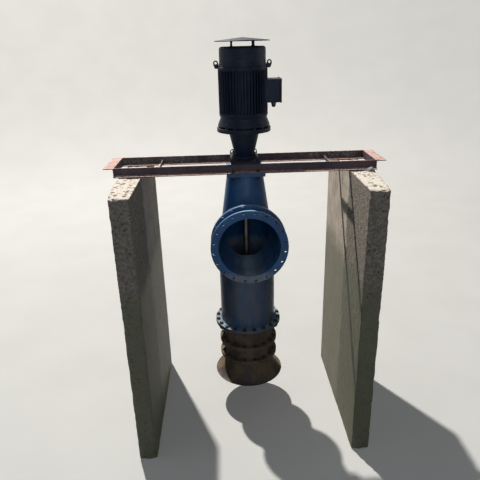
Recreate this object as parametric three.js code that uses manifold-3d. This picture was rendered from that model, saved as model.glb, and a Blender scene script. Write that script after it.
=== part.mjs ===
// Vertical axial flow pump hung from an angle-iron frame between two concrete piers.
// Units are millimetres and +Z is up. The origin is on the sump floor, at the middle of the
// whole footprint. The pump stands on its own axis, a little behind that middle.
import * as THREE from 'three';
import { mergeVertices } from 'three/addons/utils/BufferGeometryUtils.js';
import Module from 'manifold-3d';

// Piers, with heights from the sump floor and lengths from the pump's axis
const BEAM_TOP = 3000;
const PIER_FRONT = -1035;
const PIER_REAR = 705;
const PIER_INNER = 1047;
const PIER_THICK = 230;
const PIER_NOSE = 190;
const TAPER_END = -670;

// Beams, end members and cross members of the frame
const BEAM_HEIGHT = 85;
const BEAM_LEG = 68;
const BEAM_WALL = 8;
const BEAM_FRONT_FACE = -251;
const BEAM_REAR_FACE = 251;
const BEAM_HALF = 1322;
const END_LEG = 103;
const END_OVERHANG = 11;
const CROSS_X = 885;
const CROSS_LEG = 40;
const CROSS_WALL = 5;

// Plates that clamp the beams, and the seal between them
const BASE_HALF_X = 148;
const BASE_THICK = 20;
const HEAD_HALF_X = 195;
const HEAD_HALF_Y = 300;
const HEAD_THICK = 18;
const PLATE_HOLE = 62;
const SEAL_RADIUS = 85;

// Motor stool and motor, heights from the beam top
const STOOL_FOOT_RADIUS = 132;
const STOOL_FOOT_THICK = 18;
const STOOL_WAIST = 98;
const STOOL_NECK = 160;
const STOOL_WALL = 12;
const STOOL_TOP = 317;
const STOOL_SPIGOT = 120;
const MOTOR_FLANGE_RADIUS = 275;
const MOTOR_FLANGE_THICK = 20;
const SHIELD_NECK = 215;
const SKIRT_RADIUS = 264;
const SKIRT_BOTTOM = 355;
const WAIST_RADIUS = 235;
const WAIST_HEIGHT = 435;
const FRAME_BOTTOM = 470;
const FRAME_TOP = 900;
const FRAME_BARREL = 216;
const FIN_TIP = 246;
const FIN_COUNT = 44;
const UPPER_SHIELD_THICK = 35;
const COWL_RADIUS = 232;
const COWL_TOP = 1107;
const HOOD_RADIUS = 270;
const HOOD_BOTTOM = 1150;
const BOX_HALF = 125;
const BOX_DEPTH = 100;
const BOX_BOTTOM = 580;
const BOX_HEIGHT = 220;

// Discharge head and outlet, nominal bore 600
const BORE = 300;
const PIPE_WALL = 10;
const FLANGE_RADIUS = 377.5;
const FLANGE_THICK = 20;
const OUTLET_LEVEL = -705;
const OUTLET_FACE = -760;
const OUTLET_FLANGE_THICK = 30;
const OUTLET_JOINT = -570;
const HEAD_NECK = 187;
const HEAD_BOTTOM = -1085;
const CONE_BOTTOM = -975;
const BRANCH_ROOT = 242;
const BRANCH_FLARE_END = -420;

// Wet end
const COLUMN_BOTTOM = -1900;
const DIFFUSER_BOTTOM = -2150;
const CASING_BOTTOM = -2330;
const BELL_BOTTOM = -2600;
const CASING_BORE = 255;
const CASING_WALL = 18;
const CASING_FLANGE = 335;
const BELL_MOUTH = 385;
const SHAFT_RADIUS = 35;
const RUNNING_GAP = 0.3;
const DIFFUSER_HUB = 105;
const VANE_COUNT = 6;
const PROPELLER_HUB = 78;
const PROPELLER_LEVEL = -2240;
const BLADE_COUNT = 4;
const BLADE_TIP = 251;

// Round pieces are turned with this many sides
const SIDES = 36;

const AXIS_Y = -(PIER_FRONT + PIER_REAR) / 2;
const FLOOR = -BEAM_TOP;
const PLATE_BOTTOM = -BEAM_HEIGHT - 2 * HEAD_THICK;

// A flat side of a turned piece lies this much closer to the axis than its corners
const FACET = Math.cos(Math.PI / SIDES);

const finishes = {
  concrete: { color: 0xb9b0a0, roughness: 0.95, metalness: 0 },
  primer: { color: 0x5a2a2c, roughness: 0.7, metalness: 0.1 },
  bluePaint: { color: 0x1f5486, roughness: 0.45, metalness: 0.1 },
  navyPaint: { color: 0x1c2838, roughness: 0.5, metalness: 0.1 },
  castIron: { color: 0x3c3a38, roughness: 0.8, metalness: 0.6 },
  bronze: { color: 0x9a7440, roughness: 0.4, metalness: 1 },
  steel: { color: 0x8a8c8e, roughness: 0.4, metalness: 1 },
  plastic: { color: 0x17181a, roughness: 0.6, metalness: 0 },
};

const wasm = await Module();
wasm.setup();

const assembly = new THREE.Group();
assembly.position.set(0, AXIS_Y, BEAM_TOP);

function addPiece(name, geometry, finish) {
  const piece = new THREE.Mesh(geometry, new THREE.MeshStandardMaterial(finish));
  piece.name = name;
  assembly.add(piece);
}

// Shared vertices are merged, empty triangles dropped, and faces turned to point out
function weld(geometry) {
  const bare = geometry.clone();
  bare.deleteAttribute('normal');
  bare.deleteAttribute('uv');
  const merged = mergeVertices(bare);
  const positions = merged.attributes.position;
  const source = merged.index.array;
  const kept = [];
  for (let i = 0; i < source.length; i += 3) {
    const [a, b, c] = [source[i], source[i + 1], source[i + 2]];
    if (a !== b && b !== c && c !== a) kept.push([a, b, c]);
  }
  const corner = (i) => new THREE.Vector3().fromBufferAttribute(positions, i);
  const volume = kept.reduce((sum, [a, b, c]) => sum + corner(a).dot(corner(b).cross(corner(c))), 0);
  const faces = volume < 0 ? kept.map(([a, b, c]) => [a, c, b]) : kept;
  merged.setIndex(faces.flat());
  return merged;
}

function toSolid(geometry) {
  const welded = weld(geometry);
  return new wasm.Manifold(new wasm.Mesh({
    numProp: 3,
    vertProperties: new Float32Array(welded.attributes.position.array),
    triVerts: new Uint32Array(welded.index.array),
  }));
}

function toGeometry(solid) {
  const mesh = solid.getMesh();
  const geometry = new THREE.BufferGeometry();
  geometry.setAttribute('position', new THREE.BufferAttribute(mesh.vertProperties, 3));
  geometry.setIndex(new THREE.BufferAttribute(mesh.triVerts, 1));
  geometry.computeVertexNormals();
  return geometry;
}

const join = (pieces) => pieces.map(toSolid).reduce((sum, next) => sum.add(next));

function box([x0, x1], [y0, y1], [z0, z1]) {
  const geometry = new THREE.BoxGeometry(x1 - x0, y1 - y0, z1 - z0);
  return geometry.translate((x0 + x1) / 2, (y0 + y1) / 2, (z0 + z1) / 2);
}

function outline(points) {
  return new THREE.Shape(points.map(([u, v]) => new THREE.Vector2(u, v)));
}

// A section drawn in Y and Z, run along X from one place to another
function alongX(points, [x0, x1]) {
  const geometry = new THREE.ExtrudeGeometry(outline(points), { depth: x1 - x0, bevelEnabled: false });
  const turn = new THREE.Matrix4().makeBasis(
    new THREE.Vector3(0, 1, 0),
    new THREE.Vector3(0, 0, 1),
    new THREE.Vector3(1, 0, 0),
  );
  return geometry.applyMatrix4(turn).translate(x0, 0, 0);
}

// A section drawn in X and Z, run along Y from one place to another
function alongY(points, [y0, y1]) {
  const geometry = new THREE.ExtrudeGeometry(outline(points), { depth: y1 - y0, bevelEnabled: false });
  const turn = new THREE.Matrix4().makeBasis(
    new THREE.Vector3(1, 0, 0),
    new THREE.Vector3(0, 0, 1),
    new THREE.Vector3(0, -1, 0),
  );
  return geometry.applyMatrix4(turn).translate(0, y1, 0);
}

// A profile of radius and height, turned round the vertical axis
function turned(profile, sides = SIDES) {
  const points = profile.map(([radius, height]) => new THREE.Vector2(radius, height));
  return weld(new THREE.LatheGeometry(points, sides).rotateX(Math.PI / 2));
}

// A profile of radius and distance, turned round the outlet's axis, which runs along Y
function turnedAlongOutlet(profile) {
  return turned(profile).rotateX(Math.PI / 2).translate(0, 0, OUTLET_LEVEL);
}

function cylinder(radius, [z0, z1], sides = SIDES) {
  return turned([[0, z0], [radius, z0], [radius, z1], [0, z1]], sides);
}

function ringProfile(inner, outer, [z0, z1]) {
  return [[inner, z0], [outer, z0], [outer, z1], [inner, z1], [inner, z0]];
}

const ring = (inner, outer, level) => turned(ringProfile(inner, outer, level));

// Concrete piers, flat on the inner side and tapered on the outer side towards the front end
function addPier(side, sign) {
  const plan = [
    [PIER_INNER, PIER_FRONT],
    [PIER_INNER + PIER_NOSE, PIER_FRONT],
    [PIER_INNER + PIER_THICK, TAPER_END],
    [PIER_INNER + PIER_THICK, PIER_REAR],
    [PIER_INNER, PIER_REAR],
  ].map(([x, y]) => [sign * x, y]);
  const height = BEAM_TOP - BEAM_HEIGHT;
  const geometry = new THREE.ExtrudeGeometry(outline(plan), { depth: height, bevelEnabled: false });
  addPiece(`${side}_pier`, weld(geometry.translate(0, 0, FLOOR)), finishes.concrete);
}

// A long beam is an angle iron whose lower leg points to the front
function addBeam(name, face) {
  const back = face + BEAM_WALL;
  const tip = back - BEAM_LEG;
  const section = [
    [back, 0],
    [face, 0],
    [face, BEAM_WALL - BEAM_HEIGHT],
    [tip, BEAM_WALL - BEAM_HEIGHT],
    [tip, -BEAM_HEIGHT],
    [back, -BEAM_HEIGHT],
  ];
  addPiece(name, alongX(section, [-BEAM_HALF, BEAM_HALF]), finishes.primer);
}

// An end member closes the frame, with its upper leg pointing outwards
function addEndMember(name, sign) {
  const section = [
    [BEAM_HALF, 0],
    [BEAM_HALF, -BEAM_HEIGHT],
    [BEAM_HALF + BEAM_WALL, -BEAM_HEIGHT],
    [BEAM_HALF + BEAM_WALL, -BEAM_WALL],
    [BEAM_HALF + END_LEG, -BEAM_WALL],
    [BEAM_HALF + END_LEG, 0],
  ].map(([x, z]) => [sign * x, z]);
  const length = [BEAM_FRONT_FACE - END_OVERHANG, BEAM_REAR_FACE + BEAM_WALL];
  addPiece(name, weld(alongY(section, length)), finishes.primer);
}

// A cross member is a lighter angle that lies on the rear beam's lower leg
function addCrossMember(name, sign) {
  const bottom = BEAM_WALL - BEAM_HEIGHT;
  const section = [
    [CROSS_X, bottom + CROSS_LEG],
    [CROSS_X, bottom],
    [CROSS_X + CROSS_LEG, bottom],
    [CROSS_X + CROSS_LEG, bottom + CROSS_WALL],
    [CROSS_X + CROSS_WALL, bottom + CROSS_WALL],
    [CROSS_X + CROSS_WALL, bottom + CROSS_LEG],
  ].map(([x, z]) => [sign * x, z]);
  const length = [BEAM_FRONT_FACE + BEAM_WALL, BEAM_REAR_FACE];
  addPiece(name, weld(alongY(section, length)), finishes.primer);
}

// Plates above and below the beams, with the shaft seal between them
function addPlates() {
  const baseLength = [BEAM_FRONT_FACE - END_OVERHANG, BEAM_REAR_FACE + BEAM_WALL];
  const base = toSolid(box([-BASE_HALF_X, BASE_HALF_X], baseLength, [0, BASE_THICK]));
  const baseHole = toSolid(cylinder(PLATE_HOLE, [-1, BASE_THICK + 1]));
  addPiece('base_plate', toGeometry(base.subtract(baseHole)), finishes.navyPaint);

  const level = [-BEAM_HEIGHT - HEAD_THICK, -BEAM_HEIGHT];
  const head = toSolid(box([-HEAD_HALF_X, HEAD_HALF_X], [-HEAD_HALF_Y, HEAD_HALF_Y], level));
  const headHole = toSolid(cylinder(PLATE_HOLE, [level[0] - 1, level[1] + 1]));
  addPiece('head_plate', toGeometry(head.subtract(headHole)), finishes.bluePaint);

  const seal = ring(SHAFT_RADIUS + RUNNING_GAP, SEAL_RADIUS, [-BEAM_HEIGHT, 0]);
  addPiece('shaft_seal_housing', seal, finishes.castIron);
}

// The stool is welded up: a foot ring, a hollow cone wider at the top, and the motor's seat
function addStool() {
  const foot = BASE_THICK + STOOL_FOOT_THICK;
  const seat = STOOL_TOP - MOTOR_FLANGE_THICK;
  const cone = turned([
    [STOOL_WAIST - STOOL_WALL, BASE_THICK],
    [STOOL_WAIST, BASE_THICK],
    [STOOL_WAIST, foot],
    [STOOL_NECK, seat],
    [STOOL_NECK - STOOL_WALL, seat],
    [STOOL_WAIST - STOOL_WALL, foot],
    [STOOL_WAIST - STOOL_WALL, BASE_THICK],
  ]);
  addPiece('stool_cone', cone, finishes.navyPaint);
  const collar = STOOL_WAIST + RUNNING_GAP;
  addPiece('stool_foot_ring', ring(collar, STOOL_FOOT_RADIUS, [BASE_THICK, foot]), finishes.navyPaint);
  addPiece('stool_seat_ring', ring(STOOL_SPIGOT, MOTOR_FLANGE_RADIUS, [seat, STOOL_TOP]), finishes.navyPaint);
}

// The motor's lower end shield: seat flange, short neck, overhanging skirt and waist
function addEndShield() {
  const shield = turned([
    [0, STOOL_TOP],
    [MOTOR_FLANGE_RADIUS, STOOL_TOP],
    [MOTOR_FLANGE_RADIUS, STOOL_TOP + MOTOR_FLANGE_THICK],
    [SHIELD_NECK, STOOL_TOP + MOTOR_FLANGE_THICK],
    [SHIELD_NECK, SKIRT_BOTTOM],
    [SKIRT_RADIUS, SKIRT_BOTTOM],
    [SKIRT_RADIUS, SKIRT_BOTTOM + 6],
    [WAIST_RADIUS, WAIST_HEIGHT],
    [FIN_TIP, FRAME_BOTTOM - 12],
    [FIN_TIP, FRAME_BOTTOM],
    [0, FRAME_BOTTOM],
  ]);
  addPiece('motor_lower_shield', shield, finishes.navyPaint);
}

// The finned frame is a star-shaped outline, run up the motor's length
function addMotorFrame() {
  const finHalfAngle = Math.PI / FIN_COUNT / 3;
  const points = [];
  for (let fin = 0; fin < FIN_COUNT; fin += 1) {
    const middle = (fin * 2 * Math.PI) / FIN_COUNT;
    const root = finHalfAngle * 1.5;
    for (const [radius, shift] of [
      [FRAME_BARREL, -root],
      [FIN_TIP, -finHalfAngle],
      [FIN_TIP, finHalfAngle],
      [FRAME_BARREL, root],
    ]) {
      points.push([radius * Math.cos(middle + shift), radius * Math.sin(middle + shift)]);
    }
  }
  const depth = FRAME_TOP - FRAME_BOTTOM;
  const frame = new THREE.ExtrudeGeometry(outline(points), { depth, bevelEnabled: false });
  addPiece('motor_frame', frame.translate(0, 0, FRAME_BOTTOM), finishes.navyPaint);
}

// The upper end shield carries two cast lugs to lift the motor by
function addUpperShield() {
  const top = FRAME_TOP + UPPER_SHIELD_THICK;
  const disc = cylinder(FIN_TIP, [FRAME_TOP, top]);
  const lugHalf = 12;
  const lug = new THREE.Shape();
  lug.moveTo(FIN_TIP - 14, FRAME_TOP + 4);
  lug.lineTo(FIN_TIP + 26, FRAME_TOP + 4);
  lug.lineTo(FIN_TIP + 40, top);
  lug.absarc(FIN_TIP + 18, top + 22, 24, 0, Math.PI, false);
  lug.lineTo(FIN_TIP - 14, top - 6);
  const eye = new THREE.Path();
  eye.absarc(FIN_TIP + 18, top + 22, 12, 0, 2 * Math.PI, true);
  lug.holes.push(eye);
  const shape = new THREE.ExtrudeGeometry(lug, { depth: 2 * lugHalf, bevelEnabled: false, curveSegments: 8 });
  const right = shape.rotateX(Math.PI / 2).translate(0, lugHalf, 0);
  const left = right.clone().rotateZ(Math.PI);
  addPiece('motor_upper_shield', toGeometry(join([disc, right, left])), finishes.navyPaint);
}

// The fan cowl, and the rain hood on its four short posts
function addCowlAndHood() {
  const bottom = FRAME_TOP + UPPER_SHIELD_THICK;
  const round = 30;
  const cowl = turned([
    [0, bottom],
    [COWL_RADIUS, bottom],
    [COWL_RADIUS, COWL_TOP - round],
    [COWL_RADIUS - round * 0.3, COWL_TOP - round * 0.3],
    [COWL_RADIUS - round, COWL_TOP],
    [0, COWL_TOP],
  ]);
  addPiece('fan_cowl', cowl, finishes.navyPaint);

  const sheet = 4;
  const rise = 38;
  const hood = toSolid(turned([
    [0, HOOD_BOTTOM + rise - sheet],
    [HOOD_RADIUS - sheet, HOOD_BOTTOM],
    [HOOD_RADIUS, HOOD_BOTTOM],
    [HOOD_RADIUS, HOOD_BOTTOM + sheet],
    [0, HOOD_BOTTOM + rise],
  ]));
  const postAt = 150;
  const postRadius = 8;
  const postTop = HOOD_BOTTOM + rise * (1 - postAt / HOOD_RADIUS);
  const posts = [45, 135, 225, 315].map((degrees) => {
    const angle = THREE.MathUtils.degToRad(degrees);
    const post = cylinder(postRadius, [COWL_TOP, postTop], 10);
    return toSolid(post.translate(postAt * Math.cos(angle), postAt * Math.sin(angle), 0));
  });
  const covered = posts.reduce((sum, next) => sum.add(next), hood);
  addPiece('rain_hood', toGeometry(covered), finishes.navyPaint);
}

// The terminal box faces the right, on a saddle cut to the fins
function addTerminalBox() {
  const level = [BOX_BOTTOM, BOX_BOTTOM + BOX_HEIGHT];
  const lid = 14;
  const face = FIN_TIP + 30 + BOX_DEPTH;
  const body = toSolid(box([150, face - lid], [-BOX_HALF, BOX_HALF], level));
  const saddle = (FIN_TIP + RUNNING_GAP) / FACET;
  const barrel = toSolid(cylinder(saddle, [level[0] - 1, level[1] + 1]));
  addPiece('terminal_box', toGeometry(body.subtract(barrel)), finishes.navyPaint);
  const rim = 6;
  addPiece(
    'terminal_box_lid',
    box(
      [face - lid, face],
      [-BOX_HALF - rim, BOX_HALF + rim],
      [level[0] - rim, level[1] + rim],
    ),
    finishes.navyPaint,
  );
  const gland = turned([
    [0, BOX_BOTTOM - 62],
    [20, BOX_BOTTOM - 62],
    [20, BOX_BOTTOM - 40],
    [30, BOX_BOTTOM - 34],
    [30, BOX_BOTTOM],
    [0, BOX_BOTTOM],
  ], 12);
  addPiece('cable_gland', gland.translate(FIN_TIP + 66, 50, 0), finishes.plastic);
}

// The outlet branch: a flared pipe. Grown by a margin, the same profile cuts its hole in the cone
function branchProfile(margin, end) {
  return [
    [0, 0],
    [BRANCH_ROOT + margin, 0],
    [BORE + PIPE_WALL + margin, -BRANCH_FLARE_END],
    [BORE + PIPE_WALL + margin, -end],
    [0, -end],
  ];
}

// The solid inside the head's outer skin, grown by a margin
function coneProfile(margin) {
  return [
    [0, HEAD_BOTTOM],
    [BORE + PIPE_WALL + margin, HEAD_BOTTOM],
    [BORE + PIPE_WALL + margin, CONE_BOTTOM],
    [HEAD_NECK + margin, PLATE_BOTTOM],
    [0, PLATE_BOTTOM],
  ];
}

// The discharge head is welded up: top plate, tall cone, flared branch and two flanges
function addDischargeHead() {
  const plateTop = PLATE_BOTTOM + HEAD_THICK;
  const plate = toSolid(box([-HEAD_HALF_X, HEAD_HALF_X], [-HEAD_HALF_Y, HEAD_HALF_Y], [PLATE_BOTTOM, plateTop]));
  const plateHole = toSolid(cylinder(PLATE_HOLE, [PLATE_BOTTOM - 1, plateTop + 1]));
  addPiece('head_top_plate', toGeometry(plate.subtract(plateHole)), finishes.bluePaint);

  const hollow = toSolid(turned([
    [0, HEAD_BOTTOM - 1],
    [BORE, HEAD_BOTTOM - 1],
    [BORE, CONE_BOTTOM],
    [HEAD_NECK - PIPE_WALL, PLATE_BOTTOM + 1],
    [0, PLATE_BOTTOM + 1],
  ]));
  const branchBore = toSolid(turnedAlongOutlet(branchProfile(-PIPE_WALL, OUTLET_JOINT)));
  const cone = toSolid(turned(coneProfile(0))).subtract(hollow).subtract(branchBore);
  addPiece('head_cone', toGeometry(cone), finishes.bluePaint);

  const branchEnd = OUTLET_JOINT + FLANGE_THICK;
  const branch = toSolid(turnedAlongOutlet(branchProfile(0, branchEnd)))
    .subtract(toSolid(turnedAlongOutlet(branchProfile(-PIPE_WALL, branchEnd - 1))))
    .subtract(toSolid(turned(coneProfile(RUNNING_GAP))));
  addPiece('head_branch', toGeometry(branch), finishes.bluePaint);

  const outletFlange = turnedAlongOutlet(ringProfile(BORE, FLANGE_RADIUS, [-branchEnd, -OUTLET_JOINT]));
  addPiece('head_outlet_flange', outletFlange, finishes.bluePaint);
  const level = [HEAD_BOTTOM, HEAD_BOTTOM + FLANGE_THICK];
  const collar = BORE + PIPE_WALL + RUNNING_GAP;
  addPiece('head_lower_flange', ring(collar, FLANGE_RADIUS, level), finishes.bluePaint);
}

// The outlet spool: a short flanged pipe bolted to the head
function addOutletSpool() {
  const joint = -OUTLET_JOINT;
  const face = -OUTLET_FACE;
  const spool = turnedAlongOutlet([
    [BORE, joint],
    [FLANGE_RADIUS, joint],
    [FLANGE_RADIUS, joint + FLANGE_THICK],
    [BORE + PIPE_WALL, joint + FLANGE_THICK],
    [BORE + PIPE_WALL, face - OUTLET_FLANGE_THICK],
    [FLANGE_RADIUS, face - OUTLET_FLANGE_THICK],
    [FLANGE_RADIUS, face],
    [BORE, face],
    [BORE, joint],
  ]);
  addPiece('outlet_spool', spool, finishes.bluePaint);
}

// The column is a plain pipe with a welded flange at each end
function addColumn() {
  const pipe = ring(BORE, BORE + PIPE_WALL, [COLUMN_BOTTOM, HEAD_BOTTOM]);
  addPiece('column_pipe', pipe, finishes.bluePaint);
  const collar = BORE + PIPE_WALL + RUNNING_GAP;
  const levels = {
    upper: [HEAD_BOTTOM - FLANGE_THICK, HEAD_BOTTOM],
    lower: [COLUMN_BOTTOM, COLUMN_BOTTOM + FLANGE_THICK],
  };
  for (const [place, level] of Object.entries(levels)) {
    addPiece(`column_${place}_flange`, ring(collar, FLANGE_RADIUS, level), finishes.bluePaint);
  }
}

// A blade or vane section, wrapped on a cylinder: a thin six-sided lens at a pitch angle
function bladeSection({ radius, chord, thickness, pitch, level, bearing }) {
  const lens = [[-0.5, 0], [-0.25, 0.5], [0.25, 0.5], [0.5, 0], [0.25, -0.5], [-0.25, -0.5]];
  return lens.map(([along, across]) => {
    const around = along * chord * Math.cos(pitch) - across * thickness * Math.sin(pitch);
    const up = along * chord * Math.sin(pitch) + across * thickness * Math.cos(pitch);
    const angle = bearing + around / radius;
    return new THREE.Vector3(radius * Math.cos(angle), radius * Math.sin(angle), level + up);
  });
}

// Sections of equal point count, skinned into one closed body
function loft(sections) {
  const count = sections[0].length;
  const positions = sections.flat().flatMap((point) => point.toArray());
  const faces = [];
  for (let row = 0; row < sections.length - 1; row += 1) {
    for (let i = 0; i < count; i += 1) {
      const a = row * count + i;
      const b = row * count + ((i + 1) % count);
      faces.push([a, b, b + count], [a, b + count, a + count]);
    }
  }
  const last = (sections.length - 1) * count;
  for (let i = 1; i < count - 1; i += 1) {
    faces.push([0, i + 1, i], [last, last + i, last + i + 1]);
  }
  const geometry = new THREE.BufferGeometry();
  geometry.setAttribute('position', new THREE.Float32BufferAttribute(positions, 3));
  geometry.setIndex(faces.flat());
  return weld(geometry);
}

// The diffuser: a flared casing, and inside it the upright vanes with the lower bearing's hub
function addDiffuser() {
  const top = COLUMN_BOTTOM;
  const bottom = DIFFUSER_BOTTOM;
  const middle = (top + bottom) / 2;
  const casing = turned([
    [CASING_BORE, bottom],
    [CASING_FLANGE, bottom],
    [CASING_FLANGE, bottom + FLANGE_THICK],
    [CASING_BORE + CASING_WALL, bottom + FLANGE_THICK],
    [BORE + CASING_WALL, top - 2 * FLANGE_THICK],
    [BORE + CASING_WALL, top - FLANGE_THICK],
    [FLANGE_RADIUS, top - FLANGE_THICK],
    [FLANGE_RADIUS, top],
    [BORE, top],
    [BORE, top - FLANGE_THICK],
    [CASING_BORE, bottom + FLANGE_THICK],
    [CASING_BORE, bottom],
  ]);
  addPiece('diffuser_casing', casing, finishes.castIron);

  const waterway = toSolid(turned([
    [0, bottom],
    [CASING_BORE - RUNNING_GAP, bottom],
    [CASING_BORE - RUNNING_GAP, bottom + FLANGE_THICK],
    [BORE - RUNNING_GAP, top - FLANGE_THICK],
    [BORE - RUNNING_GAP, top],
    [0, top],
  ]));
  const hub = toSolid(turned([
    [0, bottom + 4],
    [DIFFUSER_HUB - 20, bottom + 4],
    [DIFFUSER_HUB, bottom + 30],
    [DIFFUSER_HUB, middle],
    [SHAFT_RADIUS + 22, top + 60],
    [0, top + 60],
  ]));
  const vanes = [];
  for (let vane = 0; vane < VANE_COUNT; vane += 1) {
    const sections = [DIFFUSER_HUB - 20, 180, BORE + CASING_WALL].map((radius) => bladeSection({
      radius,
      chord: 180,
      thickness: 14,
      pitch: THREE.MathUtils.degToRad(80),
      level: middle,
      bearing: (vane * 2 * Math.PI) / VANE_COUNT,
    }));
    vanes.push(toSolid(loft(sections)).intersect(waterway));
  }
  const bore = toSolid(cylinder((SHAFT_RADIUS + RUNNING_GAP) / FACET, [bottom - 1, top + 61]));
  const casting = vanes.reduce((sum, next) => sum.add(next), hub).subtract(bore);
  addPiece('diffuser_vanes', toGeometry(casting), finishes.castIron);
}

function addPropellerCasing() {
  const casing = turned([
    [CASING_BORE, CASING_BOTTOM],
    [CASING_FLANGE, CASING_BOTTOM],
    [CASING_FLANGE, CASING_BOTTOM + FLANGE_THICK],
    [CASING_BORE + CASING_WALL, CASING_BOTTOM + FLANGE_THICK],
    [CASING_BORE + CASING_WALL, DIFFUSER_BOTTOM - FLANGE_THICK],
    [CASING_FLANGE, DIFFUSER_BOTTOM - FLANGE_THICK],
    [CASING_FLANGE, DIFFUSER_BOTTOM],
    [CASING_BORE, DIFFUSER_BOTTOM],
    [CASING_BORE, CASING_BOTTOM],
  ]);
  addPiece('propeller_casing', casing, finishes.castIron);
}

// The suction bell opens downwards along a quarter of an ellipse
function addSuctionBell() {
  const steps = 6;
  const wall = 14;
  const depth = CASING_BOTTOM - BELL_BOTTOM;
  const spread = BELL_MOUTH - CASING_BORE;
  const arc = (offset, from, to) => Array.from({ length: steps + 1 }, (_, i) => {
    const angle = (from + ((to - from) * i) / steps) * (Math.PI / 2);
    const radius = BELL_MOUTH - spread * Math.cos(angle) + offset;
    return [radius, CASING_BOTTOM - depth * Math.sin(angle)];
  });
  const inside = arc(0, 1, 0);
  const outside = arc(wall, 0.12, 1);
  const collar = outside[0][0];
  const bell = turned([
    ...inside,
    [CASING_FLANGE, CASING_BOTTOM],
    [CASING_FLANGE, CASING_BOTTOM - FLANGE_THICK],
    [collar, CASING_BOTTOM - FLANGE_THICK],
    ...outside,
    inside[0],
  ]);
  addPiece('suction_bell', bell, finishes.castIron);
}

// The propeller: a hub with four twisted blades, and the cone that holds it on the shaft
function addPropeller() {
  const hubHalf = 70;
  const hub = toSolid(cylinder(PROPELLER_HUB, [PROPELLER_LEVEL - hubHalf, PROPELLER_LEVEL + hubHalf]));
  const blades = [];
  for (let blade = 0; blade < BLADE_COUNT; blade += 1) {
    const sections = [0, 0.25, 0.5, 0.75, 1].map((share) => bladeSection({
      radius: PROPELLER_HUB - 15 + share * (BLADE_TIP - PROPELLER_HUB + 15),
      chord: 120 + 130 * share,
      thickness: 18 - 10 * share,
      pitch: THREE.MathUtils.degToRad(48 - 26 * share),
      level: PROPELLER_LEVEL,
      bearing: (blade * 2 * Math.PI) / BLADE_COUNT,
    }));
    blades.push(toSolid(loft(sections)));
  }
  const whole = blades.reduce((sum, next) => sum.add(next), hub);
  const top = PROPELLER_LEVEL + hubHalf;
  const bottom = PROPELLER_LEVEL - hubHalf;
  const bore = toSolid(cylinder(SHAFT_RADIUS + RUNNING_GAP, [bottom - 1, top + 1]));
  addPiece('propeller', toGeometry(whole.subtract(bore)), finishes.bronze);

  const cone = turned([
    [0, bottom - 62],
    [24, bottom - 56],
    [50, bottom - 36],
    [70, bottom],
    [0, bottom],
  ]);
  addPiece('propeller_nose', cone, finishes.bronze);
  addPiece('drive_shaft', cylinder(SHAFT_RADIUS, [bottom, STOOL_TOP], 24), finishes.steel);
}

addPier('right', 1);
addPier('left', -1);
addBeam('front_beam', BEAM_FRONT_FACE);
addBeam('rear_beam', BEAM_REAR_FACE);
addEndMember('right_end_member', 1);
addEndMember('left_end_member', -1);
addCrossMember('right_cross_member', 1);
addCrossMember('left_cross_member', -1);
addPlates();
addStool();
addEndShield();
addMotorFrame();
addUpperShield();
addCowlAndHood();
addTerminalBox();
addDischargeHead();
addOutletSpool();
addColumn();
addDiffuser();
addPropellerCasing();
addSuctionBell();
addPropeller();

export default assembly;
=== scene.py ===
# %% [markdown]
# A vertical axial flow pump hangs from an angle-iron frame that spans two concrete piers. Its motor
# stands on a stool above the frame. Below it hang a conical head with a big flanged outlet, a column,
# and a wet end with diffuser, propeller and suction bell. This lesson dresses the solid model piece by
# piece. It starts by loading that model, because every size below is measured on it.

# %% Load the solid model
import math
import bmesh
import bpy
from mathutils import Matrix, Vector, noise


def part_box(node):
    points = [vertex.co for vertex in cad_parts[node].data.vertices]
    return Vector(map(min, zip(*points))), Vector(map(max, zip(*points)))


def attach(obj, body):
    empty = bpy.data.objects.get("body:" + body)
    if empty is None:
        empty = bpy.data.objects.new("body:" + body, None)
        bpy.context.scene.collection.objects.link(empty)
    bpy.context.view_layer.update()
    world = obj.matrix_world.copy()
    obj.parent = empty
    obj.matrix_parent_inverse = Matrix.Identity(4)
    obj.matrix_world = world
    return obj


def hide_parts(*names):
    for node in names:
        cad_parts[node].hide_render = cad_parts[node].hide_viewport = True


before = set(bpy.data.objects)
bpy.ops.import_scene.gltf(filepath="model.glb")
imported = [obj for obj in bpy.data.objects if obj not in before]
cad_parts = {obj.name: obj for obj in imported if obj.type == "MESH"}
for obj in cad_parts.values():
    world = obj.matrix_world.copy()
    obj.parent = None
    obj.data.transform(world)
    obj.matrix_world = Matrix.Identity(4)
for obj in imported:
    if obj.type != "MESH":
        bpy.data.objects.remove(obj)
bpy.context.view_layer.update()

# %% [markdown]
# A fitter measures everything on such a pump from two places: its shaft and the top of the beams. The
# lesson does the same. A point is given in millimetres, across, along and up from there, and one
# function turns it into metres in the model's frame.

# %% Where the shaft stands and where the beams end
shaft_x, shaft_y = [(low + high) / 2 for low, high in zip(*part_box("drive_shaft"))][:2]
beam_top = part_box("base_plate")[0].z


def metres(x, y, z):
    """A point in millimetres from the shaft and the beams' top, as metres in the frame."""
    return Vector((shaft_x + x / 1000, shaft_y + y / 1000, beam_top + z / 1000))


def extent(node):
    """A solid's box in millimetres from the shaft and the beams' top: lists of x, y and z."""
    low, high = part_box(node)
    start = metres(0, 0, 0)
    return [((low[i] - start[i]) * 1000, (high[i] - start[i]) * 1000) for i in range(3)]


print("shaft at", round(shaft_x, 3), round(shaft_y, 3), "beam top at", round(beam_top, 3))

# %% [markdown]
# The camera comes first, because it decides which details will be seen. It stands where the photograph
# was taken: about 5 m in front of the pump and 1.1 m above the beams, looking 30 degrees down, a little
# to the right and slightly rolled. From that place it is swung on to the middle of the pump, with a
# slightly longer lens, so that the whole object fits and fills the picture.

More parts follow.
